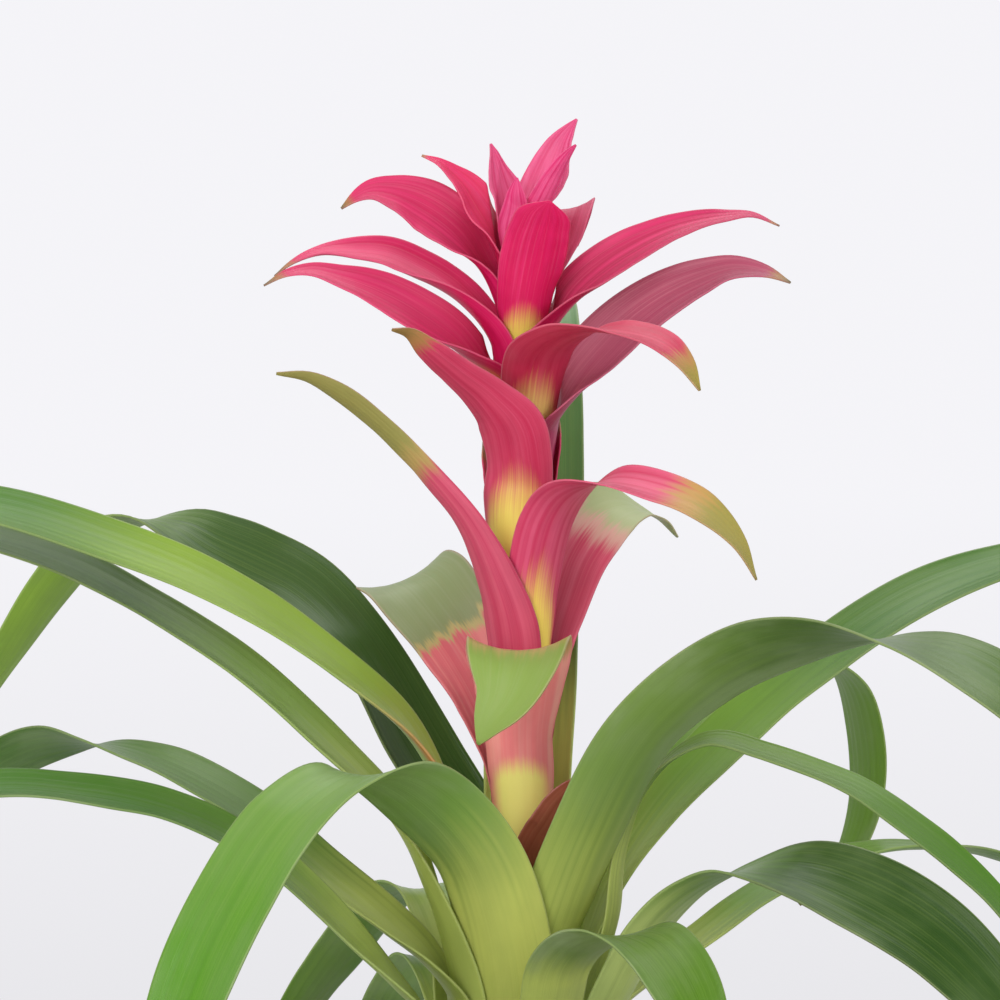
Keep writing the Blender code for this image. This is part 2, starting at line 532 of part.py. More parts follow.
def build():
    """Build every named piece of the plant."""
    for obj in list(bpy.data.objects):
        bpy.data.objects.remove(obj, do_unlink=True)
    parts = bpy.data.collections.new(OBJECT_NAME)
    cutters = bpy.data.collections.new("cutters")
    bpy.context.scene.collection.children.link(parts)
    bpy.context.scene.collection.children.link(cutters)
    build_pot(parts, cutters)
    build_soil(parts)
    build_stem(parts)
    for blade in LEAVES:
        blade_object(blade.name, leaf_grid(blade), LEAF_THICKNESS, LEAF_COLOUR, parts)
    for blade in BRACTS:
        blade_object(blade.name, bract_grid(blade), BRACT_THICKNESS, BRACT_COLOUR, parts)


if __name__ == "__main__":
    build()
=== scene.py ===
"""Potted bromeliad in flower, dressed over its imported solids.

Metres, +Z up, the origin at the middle of the pot's foot.  Every leaf and bract is one thin blade
lofted along a spine of stations, given in millimetres as (x, y, z, half width, roll in degrees).
"""
from __future__ import annotations

import logging
import math
from dataclasses import dataclass, field
from enum import Enum

import bmesh
import bpy
import numpy as np
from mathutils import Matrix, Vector, noise

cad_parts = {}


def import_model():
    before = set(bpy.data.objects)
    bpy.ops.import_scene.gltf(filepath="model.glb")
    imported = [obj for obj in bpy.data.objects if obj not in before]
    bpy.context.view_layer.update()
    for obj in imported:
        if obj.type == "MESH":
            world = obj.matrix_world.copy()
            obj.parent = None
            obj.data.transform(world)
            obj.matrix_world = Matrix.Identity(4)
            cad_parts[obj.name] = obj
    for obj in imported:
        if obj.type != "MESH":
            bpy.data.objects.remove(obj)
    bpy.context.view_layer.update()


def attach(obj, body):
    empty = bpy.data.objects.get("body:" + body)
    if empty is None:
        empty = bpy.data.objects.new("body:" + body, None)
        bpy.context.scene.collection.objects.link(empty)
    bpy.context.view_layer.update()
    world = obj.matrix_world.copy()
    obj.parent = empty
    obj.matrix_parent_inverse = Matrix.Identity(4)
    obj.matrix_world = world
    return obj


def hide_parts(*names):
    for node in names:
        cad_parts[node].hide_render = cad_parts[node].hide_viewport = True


LOG = logging.getLogger("bromeliad")
MM = 0.001
THROUGH_SHARE = 0.18
LEAST_HALF_WIDTH = 0.0003
LEAST_WRAP = 0.02

Colour = tuple[float, float, float]
Row = tuple[float, float, float, float, float]


class Side(Enum):
    """Which face of a blade a finish is for; the value is its material slot."""
    UNDER = 0
    TOP = 1


class Signal:
    """A number carried by a node socket, so that shader maths reads as an expression."""

    def __init__(self, writer: "TreeWriter", socket: bpy.types.NodeSocket) -> None:
        """Keep the tree's writer and the socket."""
        self.writer = writer
        self.socket = socket

    def _math(self, operation: str, first: object, second: object = 0.0) -> "Signal":
        """Add one Math node on two numbers or signals."""
        return self.writer.number("ShaderNodeMath", {"operation": operation}, {0: first, 1: second})

    def __add__(self, other: object) -> "Signal":
        """Sum."""
        return self._math("ADD", self, other)

    def __radd__(self, other: object) -> "Signal":
        """Sum, reflected."""
        return self._math("ADD", other, self)

    def __sub__(self, other: object) -> "Signal":
        """Difference."""
        return self._math("SUBTRACT", self, other)

    def __rsub__(self, other: object) -> "Signal":
        """Difference, reflected."""
        return self._math("SUBTRACT", other, self)

    def __mul__(self, other: object) -> "Signal":
        """Product."""
        return self._math("MULTIPLY", self, other)

    def __rmul__(self, other: object) -> "Signal":
        """Product, reflected."""
        return self._math("MULTIPLY", other, self)

    def __truediv__(self, other: object) -> "Signal":
        """Quotient."""
        return self._math("DIVIDE", self, other)

    def __pow__(self, other: object) -> "Signal":
        """Power."""
        return self._math("POWER", self, other)

    def __abs__(self) -> "Signal":
        """Size without sign."""
        return self._math("ABSOLUTE", self)

    def at_least(self, other: object) -> "Signal":
        """The larger of two."""
        return self._math("MAXIMUM", self, other)

    def at_most(self, other: object) -> "Signal":
        """The smaller of two."""
        return self._math("MINIMUM", self, other)

    def sine(self) -> "Signal":
        """Sine of an angle in radians."""
        return self._math("SINE", self)

    def cosine(self) -> "Signal":
        """Cosine of an angle in radians."""
        return self._math("COSINE", self)

    def step(self, low: float, high: float) -> "Signal":
        """Smooth rise from 0 at low to 1 at high."""
        return self.writer.number("ShaderNodeMapRange", {"interpolation_type": "SMOOTHSTEP"},
                                  {"Value": self, "From Min": low, "From Max": high})


class Arrow:
    """A vector carried by a node socket."""

    def __init__(self, writer: "TreeWriter", socket: bpy.types.NodeSocket) -> None:
        """Keep the tree's writer and the socket."""
        self.writer = writer
        self.socket = socket

    def __add__(self, other: "Arrow") -> "Arrow":
        """Vector sum."""
        node = self.writer.add("ShaderNodeVectorMath", {"operation": "ADD"}, {0: self, 1: other})
        return Arrow(self.writer, node.outputs[0])

    def __mul__(self, factor: object) -> "Arrow":
        """Vector scaled by a number or a signal."""
        node = self.writer.add("ShaderNodeVectorMath", {"operation": "SCALE"}, {0: self, "Scale": factor})
        return Arrow(self.writer, node.outputs[0])

    def parts(self) -> tuple[Signal, Signal, Signal]:
        """Its x, y and z."""
        node = self.writer.add("ShaderNodeSeparateXYZ", {}, {0: self})
        return tuple(Signal(self.writer, socket) for socket in node.outputs)


class TreeWriter:
    """Adds nodes to one shader or geometry tree."""

    def __init__(self, tree: bpy.types.NodeTree) -> None:
        """Keep the tree."""
        self.tree = tree

    def add(self, kind: str, settings: dict | None = None, inputs: dict | None = None) -> bpy.types.Node:
        """Add one node.

        Args:
            kind: the node's type.
            settings: attributes set first.
            inputs: a value, Signal, Arrow or socket for each input's name or number.

        Returns:
            The node.
        """
        node = self.tree.nodes.new(kind)
        for name, value in (settings or {}).items():
            setattr(node, name, value)
        for key, value in (inputs or {}).items():
            source = value.socket if isinstance(value, (Signal, Arrow)) else value
            if isinstance(source, bpy.types.NodeSocket):
                self.tree.links.new(source, node.inputs[key])
            else:
                node.inputs[key].default_value = source
        return node

    def number(self, kind: str, settings: dict | None = None, inputs: dict | None = None,
               output: int | str = 0) -> Signal:
        """Add a node and give one of its outputs as a signal."""
        return Signal(self, self.add(kind, settings, inputs).outputs[output])

    def arrow(self, x: object, y: object, z: object) -> Arrow:
        """A vector from three numbers or signals."""
        node = self.add("ShaderNodeCombineXYZ", {}, {0: x, 1: y, 2: z})
        return Arrow(self, node.outputs[0])

    def noise(self, where: Arrow, scale: float, detail: float = 2.0, rough: float = 0.5) -> Signal:
        """Cloudy noise between about 0.3 and 0.7."""
        return self.number("ShaderNodeTexNoise", {},
                           {"Vector": where, "Scale": scale, "Detail": detail, "Roughness": rough})


class Paint(TreeWriter):
    """Writer of one surface's material."""

    def __init__(self, name: str) -> None:
        """Start an empty material.

        Args:
            name: the material's name.
        """
        self.material = bpy.data.materials.new(name)
        self.material.use_nodes = True
        super().__init__(self.material.node_tree)
        self.tree.nodes.clear()

    def place(self) -> Arrow:
        """Place on the object, in metres."""
        return Arrow(self, self.add("ShaderNodeTexCoord").outputs["Object"])

    def blade_place(self) -> tuple[Signal, Signal]:
        """Place on a blade: across it and along it, both from 0 to 1."""
        across, along, _ = Arrow(self, self.add("ShaderNodeUVMap", {"uv_map": "UVMap"}).outputs[0]).parts()
        return across, along

    def mix(self, share: object, low: object, high: object, blend: str = "MIX") -> bpy.types.NodeSocket:
        """Blend two colours, each a triple or a socket."""
        pair = [(*value, 1.0) if isinstance(value, tuple) else value for value in (low, high)]
        settings = {"data_type": "RGBA", "blend_type": blend, "clamp_factor": True}
        return self.add("ShaderNodeMix", settings, {0: share, 6: pair[0], 7: pair[1]}).outputs[2]

    def finish(self, colour: bpy.types.NodeSocket, rough: object, relief: Signal, depth: float,
               sheen: dict, glow: Colour | None = None) -> bpy.types.Material:
        """Join colour, roughness and relief to the surface.

        Args:
            colour: base colour.
            rough: roughness, a number or a signal.
            relief: height of the fine relief, 0 to 1.
            depth: real height of that relief, in metres.
            sheen: constant values of other shader sockets.
            glow: colour of the light that passes through a thin blade, or None for a solid thing.

        Returns:
            The finished material.
        """
        bump = self.add("ShaderNodeBump", {}, {"Height": relief, "Strength": 1.0, "Distance": depth})
        shader = self.add("ShaderNodeBsdfPrincipled", {},
                          {"Base Color": colour, "Roughness": rough, "Normal": bump.outputs[0], **sheen})
        surface = shader.outputs[0]
        if glow is not None:
            through = self.add("ShaderNodeBsdfTranslucent", {}, {"Color": (*glow, 1.0)})
            both = self.add("ShaderNodeMixShader", {}, {0: THROUGH_SHARE, 1: surface, 2: through.outputs[0]})
            surface = both.outputs[0]
        self.add("ShaderNodeOutputMaterial", {}, {"Surface": surface})
        return self.material


@dataclass(frozen=True)
class LeafSkin:
    """Finish of one green leaf: pale at its foot, fresh in the middle, deep towards its tip."""
    pale: Colour = (0.50, 0.57, 0.14)
    fresh: Colour = (0.20, 0.36, 0.055)
    deep: Colour = (0.05, 0.125, 0.02)
    pale_until: float = 0.30
    fresh_from: float = 0.46
    fresh_until: float = 0.55
    deep_from: float = 0.85
    bloom: float = 0.25
    blush: float = 0.0
    seed: float = 0.0
    pale_line: Colour = (0.36, 0.48, 0.10)
    foot_blush: Colour = (0.60, 0.20, 0.06)
    chalk: Colour = (0.36, 0.43, 0.25)
    edge: Colour = (0.42, 0.47, 0.22)
    dry_tip: Colour = (0.22, 0.13, 0.05)
    lines_across: float = 58.0
    veins_across: float = 13.0
    relief_depth: float = 0.00014
    gloss: float = 0.18

    def paint(self, name: str, side: Side) -> bpy.types.Material:
        """Make the material of one side.

        Args:
            name: the leaf's name.
            side: which face it is for.

        Returns:
            The material.
        """
        paint = Paint("%s_%s" % (name, side.name.lower()))
        across, along = paint.blade_place()
        off_middle = abs(across - 0.5) * 2.0
        lines = paint.noise(paint.arrow(across * self.lines_across, along * 2.2, self.seed), 1.0, 2.0)
        veins = paint.noise(paint.arrow(across * self.veins_across, along * 1.1, self.seed + 3.0), 1.0, 1.0)
        clouds = paint.noise(paint.arrow(across * 1.6, along * 7.0, self.seed + 7.0), 1.0, 3.0, 0.6)
        reach = along + (veins - 0.5) * 0.07
        colour = paint.mix(reach.step(self.pale_until, self.fresh_from), self.pale, self.fresh)
        colour = paint.mix(reach.step(self.fresh_until, self.deep_from), colour, self.deep)
        colour = paint.mix((clouds - 0.38) * 0.8, colour, tuple(c * 0.62 for c in self.fresh))
        colour = paint.mix(lines.step(0.42, 0.72) * 0.09, colour, self.pale_line)
        colour = paint.mix(veins.step(0.52, 0.70) * 0.12, colour, tuple(c * 0.45 for c in self.fresh))
        if self.blush:
            warm = across.step(0.80, 1.0) * (1.0 - along.step(0.34, 0.46)) * self.blush
            colour = paint.mix(warm, colour, self.foot_blush)
        bloom = clouds.step(0.40, 0.66) * (off_middle * 0.6 + 0.4) * along.step(0.25, 0.5)
        amount = self.bloom * (1.0 if side is Side.UNDER else 0.35)
        colour = paint.mix(bloom * amount, colour, self.chalk)
        colour = paint.mix(off_middle.step(0.965, 0.995) * 0.3, colour, self.edge)
        colour = paint.mix(along.step(0.965, 1.0) * 0.8, colour, self.dry_tip)
        relief = lines * 0.6 + veins * 0.4
        rough = (lines - 0.5) * 0.2 + (0.42 if side is Side.UNDER else 0.31)
        glow = tuple(c * 1.5 for c in self.fresh)
        return paint.finish(colour, rough, relief, self.relief_depth, {"Specular IOR Level": self.gloss}, glow)


@dataclass(frozen=True)
class BractSkin:
    """Finish of one bract: a glowing patch at its foot, streaked flesh, a differently tinted tip and a painted
    sheen on its top face.

    ``glow_low`` and ``glow_top`` are heights in metres between which the patch fades.
    """
    flesh: Colour = (0.60, 0.008, 0.095)
    streak: Colour = (0.72, 0.022, 0.150)
    glow: Colour = (0.80, 0.68, 0.12)
    glow_low: float = 0.0
    glow_top: float = 0.001
    glow_width: float = 0.72
    tip: Colour = (0.15, 0.13, 0.04)
    band: Colour = (0.34, 0.17, 0.05)
    tip_from: float = 0.86
    tip_full: float = 0.97
    # How strongly a painted sheen pales the top face; its colour is given below.
    pale_top: float = 0.05
    haze: Colour = (0.78, 0.16, 0.28)
    seed: float = 0.0
    # Colour of the painted sheen on the top face.
    painted_sheen: Colour = (0.72, 0.64, 0.60)
    edge: Colour = (0.78, 0.36, 0.42)
    lines_across: float = 46.0
    veins_across: float = 11.0
    relief_depth: float = 0.00011
    gloss: float = 0.18

    def paint(self, name: str, side: Side) -> bpy.types.Material:
        """Make the material of one side.

        Args:
            name: the bract's name.
            side: which face it is for.

        Returns:
            The material.
        """
        paint = Paint("%s_%s" % (name, side.name.lower()))
        across, along = paint.blade_place()
        _, _, height = paint.place().parts()
        off_middle = abs(across - 0.5) * 2.0
        lines = paint.noise(paint.arrow(across * self.lines_across, along * 2.0, self.seed), 1.0, 2.0)
        veins = paint.noise(paint.arrow(across * self.veins_across, along * 0.9, self.seed + 5.0), 1.0, 2.0)
        clouds = paint.noise(paint.arrow(across * 2.2, along * 4.0, self.seed + 9.0), 1.0, 3.0, 0.6)
        colour = paint.mix(veins.step(0.34, 0.70) * 0.75, self.flesh, self.streak)
        colour = paint.mix((clouds - 0.42) * 1.2, colour, tuple(c * 0.66 for c in self.flesh))
        colour = paint.mix(lines.step(0.45, 0.75) * 0.16, colour, self.haze)
        fade = self.glow_top - self.glow_low
        rise = height + (lines - 0.5) * (0.7 * fade) + off_middle * off_middle * (fade * 0.8)
        patch = (1.0 - rise.step(self.glow_low, self.glow_top)) * (1.0 - off_middle.step(self.glow_width, 1.0))
        colour = paint.mix(patch, colour, self.glow)
        reach = along + (lines - 0.5) * 0.06 + (veins - 0.5) * 0.08
        half_way = (self.tip_from + self.tip_full) / 2.0
        colour = paint.mix(reach.step(self.tip_from, half_way), colour, self.band)
        colour = paint.mix(reach.step(half_way, self.tip_full), colour, self.tip)
        # Painted sheen: the top face is washed towards a pale colour that stands for light glancing off it.
        if side is Side.TOP:
            colour = paint.mix((lines.step(0.35, 0.7) * 0.4 + 0.6) * self.pale_top, colour, self.painted_sheen)
        colour = paint.mix(off_middle.step(0.95, 1.0) * 0.22, colour, self.edge)
        relief = lines * 0.55 + veins * 0.45
        rough = (lines - 0.5) * 0.2 + 0.40
        glow = tuple(c * 1.15 for c in self.streak)
        return paint.finish(colour, rough, relief, self.relief_depth, {"Specular IOR Level": self.gloss}, glow)


@dataclass(frozen=True)
class Blade:
    """One leaf or bract: its node, its sheath's place, its stations and its finish.

    ``level`` is the layer number of a leaf, counted outward, or the height in millimetres at which
    a bract leaves the stem.
    """
    name: str
    level: float
    rows: tuple[Row, ...]
    skin: LeafSkin | BractSkin


def arching(name: str, layer: float, heading: float, crest: tuple[float, float], reach: float,
            tip_height: float, half_width: float, skin: LeafSkin) -> Blade:
    """Plain arching leaf.

    Args:
        name: the leaf's node.
        layer: its layer number.
        heading: direction it grows in, degrees from +X.
        crest: reach and height of its highest point, millimetres.
        reach: how far out its tip is, millimetres.
        tip_height: height of its tip, millimetres.
        half_width: half its width, millimetres.
        skin: its finish.

    Returns:
        The blade.
    """
    crest_reach, crest_height = crest
    ahead = math.cos(math.radians(heading))
    aside = math.sin(math.radians(heading))
    start_reach = 9.0 + 1.15 * layer
    start_height = 122.0 + 0.12 * crest_height - 1.2 * layer
    rows = []
    for share, width in ((0.0, 1.0), (0.35, 1.0), (0.7, 1.0), (1.0, 0.97)):
        out = start_reach + (crest_reach - start_reach) * share
        rise = math.sin(share * math.pi / 2.0)
        up = start_height + (crest_height - start_height) * rise
        rows.append((ahead * out, aside * out, up, half_width * width, 0.0))
    for share, width in ((0.4, 0.9), (0.72, 0.68), (1.0, 0.04)):
        out = crest_reach + (reach - crest_reach) * share
        up = crest_height - (crest_height - tip_height) * share ** 1.7
        rows.append((ahead * out, aside * out, up, half_width * width, 0.0))
    return Blade(name, layer, tuple(rows), skin)


def tucked(name: str, foot: float, heading: float, length: float, lean: float, skin: BractSkin) -> Blade:
    """Short bract that stays close behind the spike.

    Args:
        name: the bract's node.
        foot: height at which it leaves the stem, millimetres.
        heading: direction it faces, degrees from +X.
        length: its free length, millimetres.
        lean: how far its tip leans out, millimetres.
        skin: its finish.

    Returns:
        The blade.
    """
    ahead = math.cos(math.radians(heading))
    aside = math.sin(math.radians(heading))
    rows = []
    for share, width in ((0.0, 8.6), (0.4, 8.2), (0.75, 5.6), (1.0, 0.5)):
        out = 9.2 + lean * share ** 1.6
        up = foot + 28.0 + length * share
        rows.append((ahead * out, aside * out, up, width, 0.0))
    return Blade(name, foot, tuple(rows), skin)


TUFT = BractSkin(flesh=(0.62, 0.020, 0.14), streak=(0.80, 0.14, 0.32),
                 tip_from=1.1, tip_full=1.2, pale_top=0.06,
                 seed=21.0)

LEAVES: tuple[Blade, ...] = (
    Blade("leaf_behind_spike", 0, (
        (0, 10, 165, 11, 0), (1, 13.5, 198, 13.5, 0), (2, 18, 232, 14.5, 0), (3, 23, 263, 14.5, 0),
        (5, 34, 315, 14.5, 0), (5, 50, 346, 14, 0), (5, 66, 361, 13.5, 0), (5, 86, 368, 12.5, 0),
        (5, 106, 364, 11, 0), (6, 124, 354, 8, 0), (6, 138, 339, 0.5, 0)),
        # Painted light: the pale foot is lifted brighter than the leaf's own colour to make up for the shade
        # cast by the foot bracts.
        LeafSkin(pale=(0.78, 0.9, 0.22), fresh=(0.12, 0.23, 0.05), deep=(0.11, 0.25, 0.075),
                 pale_until=0.35, fresh_from=0.46, fresh_until=0.5, deep_from=0.62, seed=1.0)),
    Blade("leaf_left_back", 1, (
        (-6, 9, 165, 10, 0), (-10, 14, 188, 10.5, 0), (-17, 19, 205, 13, 0), (-30, 25, 226, 14, 0),
        (-55, 42, 266, 13, 0), (-69, 52, 279, 12.5, 22), (-84, 62, 286.5, 12, 36),
        (-97, 72, 292, 12, 22), (-108, 79, 297.5, 11.5, 0), (-120, 86, 299.5, 11, -22),
        (-136, 97, 294, 11, -32), (-150, 106, 279, 10.5, -32), (-166, 115, 257, 9, -26),
        (-182, 122, 232, 6, -20), (-194, 127, 208, 0.5, -16)),
        LeafSkin(fresh=(0.05, 0.105, 0.022), deep=(0.27, 0.45, 0.055), pale_until=0.14,
                 fresh_from=0.26, fresh_until=0.60, deep_from=0.78, bloom=0.1, seed=2.0)),
    Blade("leaf_right_front", 2, (
        (6.5, -11, 162, 10, 0), (13, -22, 187, 13.5, 0), (21, -29, 208, 14, 0), (36, -41, 237, 14, 4),
        (52, -52, 253, 13.5, 10), (69, -69, 263, 13, 14), (86, -88, 267, 12.5, 4), (100, -104, 267, 12.5, -14),
        (113, -118, 264, 12, -28), (126, -131, 257, 11.5, -34), (139, -142, 245, 10, -30),
        (150, -150, 228, 6.5, -24), (157, -154, 210, 0.5, -18)),
        LeafSkin(pale=(0.55, 0.61, 0.14), fresh=(0.16, 0.26, 0.05), deep=(0.078, 0.14, 0.033),
                 pale_until=0.18, fresh_from=0.38, fresh_until=0.45, deep_from=0.62, bloom=0.35,
                 seed=3.0)),
    Blade("leaf_left_high", 3, (
        (-13, -5, 168, 10, 0), (-22, -10, 212, 13.5, 12), (-33, -13, 235, 13.5, 22),
        (-57, -22, 258, 13.5, 30), (-90, -33, 280, 13, 34), (-118, -42, 292, 12.5, 36),
        (-151, -52, 303, 11.5, 34), (-180, -60, 306, 10, 30), (-207, -68, 296, 7.5, 24),
        (-229, -74, 274, 0.5, 18)),
        LeafSkin(fresh=(0.26, 0.4, 0.055), deep=(0.055, 0.165, 0.01), pale_until=0.26, fresh_from=0.42,
                 fresh_until=0.58, deep_from=0.74, bloom=0.15, blush=1.0, seed=4.0)),
    Blade("leaf_right_hanging", 4, (
        (5, 13, 155, 10.5, 0), (8, 22, 174, 10.5, 0), (19, 33, 192, 13, 0), (36, 49, 216, 13, 0),
        (56, 65, 238, 12.5, 0), (78, 81, 252, 12, 0), (94, 93, 256, 11.5, 4), (105, 102, 248, 11, 8),
        (111, 109, 230, 10.5, 12), (111, 113, 204, 8.5, 12), (103, 114, 185, 4.8, 10),
        (91, 113, 174, 0.5, 6)),
        LeafSkin(fresh=(0.16, 0.29, 0.05), deep=(0.15, 0.29, 0.03), seed=5.0)),
    Blade("leaf_front_left", 5, (
        (-4, -19, 160, 15, 0), (-8, -28, 184, 15, 0), (-13, -35, 199, 14.5, 0),
        (-27, -50, 217.5, 14, -6), (-38, -64, 225.5, 13.5, 6), (-48, -76, 228, 13, 30),
        (-63, -93, 219.5, 13.5, 36), (-80, -108, 195, 13.5, 38), (-92, -117, 168, 12.5, 38),
        (-98, -121, 148, 9, 38), (-102, -122, 128, 0.5, 36)),
        LeafSkin(pale=(0.6, 0.64, 0.15), fresh=(0.17, 0.30, 0.058), deep=(0.085, 0.25, 0.012),
                 pale_until=0.26, fresh_from=0.42, bloom=0.3, seed=6.0)),
    Blade("leaf_right_high", 6, (
        (18, 4, 160, 10, 0), (30, 10, 192, 11, -12), (41, 16, 208, 13, -20), (60, 22, 229, 13.5, -26),
        (88, 30, 253, 13, -28), (126, 40, 277, 12.5, -30), (148, 46, 285, 11.5, -28),
        (174, 52, 290, 9.5, -26), (201, 59, 286, 7.5, -22), (224, 64, 274, 5, -18),
        (240, 68, 256, 0.5, -14)),
        LeafSkin(pale=(0.44, 0.54, 0.12), fresh=(0.16, 0.3, 0.045), deep=(0.065, 0.155, 0.028),
                 pale_until=0.2, fresh_from=0.38, fresh_until=0.42, deep_from=0.58, seed=7.0)),
    Blade("leaf_left_second", 7, (
        (-20, -6, 160, 14.5, 0), (-29, -12, 191, 14, 12), (-38, -16, 211, 13.5, 20),
        (-55, -20, 230, 13.5, 25), (-86, -24, 258, 13, 28), (-109, -26, 273, 12.5, 28),
        (-133, -28, 286, 12, 27), (-153, -30, 293, 11, 25), (-183, -33, 298, 9.5, 22),
        (-215, -36, 290, 7, 18), (-240, -38, 264, 0.5, 14)),
        LeafSkin(fresh=(0.25, 0.38, 0.078), deep=(0.034, 0.09, 0.005), fresh_until=0.44,
                 deep_from=0.62, bloom=0.15, seed=8.0)),
    Blade("leaf_right_narrow", 8, (
        (19, -6, 152, 8.5, 0), (27.5, -9, 180, 6.5, 0), (30.5, -10.5, 203, 6, 0),
        (37, -12, 220, 5.6, -8), (46, -13, 230, 5.4, -20), (55.5, -14, 234.2, 5.5, -28),
        (70.3, -20, 231.3, 5.8, -30), (84, -28, 227, 6, -30), (97.4, -36, 221.7, 6.2, -30),
        (110.7, -44, 213, 6.2, -30), (123.8, -52, 202.9, 6, -28), (136.8, -60, 189.8, 5.2, -26),
        (150, -68, 170, 3, -20), (156, -72, 158, 0.5, -16)),
        LeafSkin(fresh=(0.12, 0.22, 0.035), deep=(0.065, 0.175, 0.014), bloom=0.1, seed=9.0)),
    Blade("leaf_left_low_back", 9, (
        (-19, -3, 150, 14, 0), (-30, -5, 169, 14, 14), (-41, -6, 179, 13.5, 22),
        (-65, -4, 198, 13, 28), (-82, 3, 212, 12.5, 30), (-100, 10, 222, 12.5, 30),
        (-116, 19, 228, 11.5, 28), (-130, 27, 231, 10.5, 16), (-143, 35, 231, 9.5, -8),
        (-158, 44, 226, 8.5, -22), (-176, 54, 213, 6, -20), (-188, 60, 196, 0.5, -14)),
        LeafSkin(fresh=(0.1, 0.2, 0.035), deep=(0.055, 0.13, 0.022), seed=10.0)),
    arching("leaf_back_upright", 10, 88.0, (96.0, 232.0), 176.0, 184.0, 13.0, LeafSkin(seed=16.0)),
    Blade("leaf_front_small", 11, (
        (6, -21, 139, 9.5, 0), (9, -32, 158, 10, 0), (11, -41, 169, 10.5, 0), (20, -60, 179.5, 10.5, 4),
        (27, -70, 182, 10.8, -8), (36, -82, 181, 11, -28), (46, -94, 168, 10, -34),
        (51, -100, 150, 6, -30), (53, -102, 138, 0.5, -26)),
        LeafSkin(fresh=(0.18, 0.27, 0.075), deep=(0.085, 0.195, 0.012), pale_until=0.36,
                 fresh_from=0.48, bloom=0.55, seed=11.0)),
    Blade("leaf_right_low", 12, (
        (23, 8, 145, 13, 0), (38, 15, 160, 12.5, 0), (51, 22, 168, 12, -4), (77, 35, 185, 11.2, -8),
        (102, 49, 195, 11, -10), (133, 66, 196, 9.5, -6), (152, 77, 192, 7.5, -4),
        (169, 87, 184, 4.5, -2), (182, 94, 172, 0.5, 0)),
        LeafSkin(fresh=(0.17, 0.30, 0.055), deep=(0.08, 0.17, 0.025), seed=12.0)),
    Blade("leaf_left_low", 13, (
        (-23, -11, 143, 13, 0), (-38, -24, 163, 13.5, 16), (-51, -33, 178, 13, 24),
        (-79, -48, 205, 11.5, 26), (-102, -58, 217, 10.5, 24), (-128, -69, 223, 9.5, 22),
        (-148, -78, 225, 8.5, 22), (-168, -88, 221, 6.8, 22), (-187, -98, 208, 4.5, 20),
        (-199, -104, 192, 0.5, 18)),
        LeafSkin(pale=(0.42, 0.52, 0.13), fresh=(0.12, 0.25, 0.040), deep=(0.06, 0.17, 0.017),
                 fresh_until=0.42, deep_from=0.62, seed=13.0)),
    Blade("leaf_right_wide", 14, (
        (22, -15, 142, 11, 0), (30, -20, 163, 12, 2), (43, -27, 184, 12.5, 2), (61, -38, 197, 12.5, -4),
        (78, -52, 199, 13, -28), (98, -66, 193, 13.5, -46), (119, -80, 180, 12.5, -48),
        (129, -86, 170, 11, -46), (140, -92, 156, 7.5, -40), (146, -96, 140, 0.5, -34)),
        LeafSkin(pale=(0.44, 0.54, 0.16), fresh=(0.13, 0.24, 0.045), deep=(0.026, 0.066, 0.01),
                 fresh_until=0.46, deep_from=0.58, seed=14.0)),
    Blade("leaf_left_far", 15, (
        (-15, 20, 143, 12, 0), (-22, 30, 170, 12.5, 0), (-30, 44, 184, 12, 0), (-40, 60, 182, 11.5, 0),
        (-51, 77, 169, 11, 0), (-72, 102, 140, 8, 0), (-84, 112, 121, 5, 0), (-92, 118, 102, 0.5, 0)),
        LeafSkin(fresh=(0.17, 0.30, 0.055), deep=(0.09, 0.2, 0.02), seed=15.0)),
    arching("leaf_back_right", 16, 62.0, (66.0, 166.0), 138.0, 118.0, 13.0, LeafSkin(seed=17.0)),
    arching("leaf_left_under", 17, 222.0, (72.0, 146.0), 148.0, 84.0, 13.5, LeafSkin(seed=18.0)),
    arching("leaf_back_left", 18, 114.0, (62.0, 162.0), 132.0, 112.0, 13.0, LeafSkin(seed=19.0)),
    arching("leaf_front_low", 19, 268.0, (70.0, 149.0), 146.0, 84.0, 13.5, LeafSkin(seed=20.0)),
    arching("leaf_right_under", 20, 356.0, (78.0, 148.0), 158.0, 88.0, 13.5, LeafSkin(seed=21.0)),
    arching("leaf_left_bottom", 21, 176.0, (80.0, 149.0), 160.0, 92.0, 13.5, LeafSkin(seed=22.0)),
)

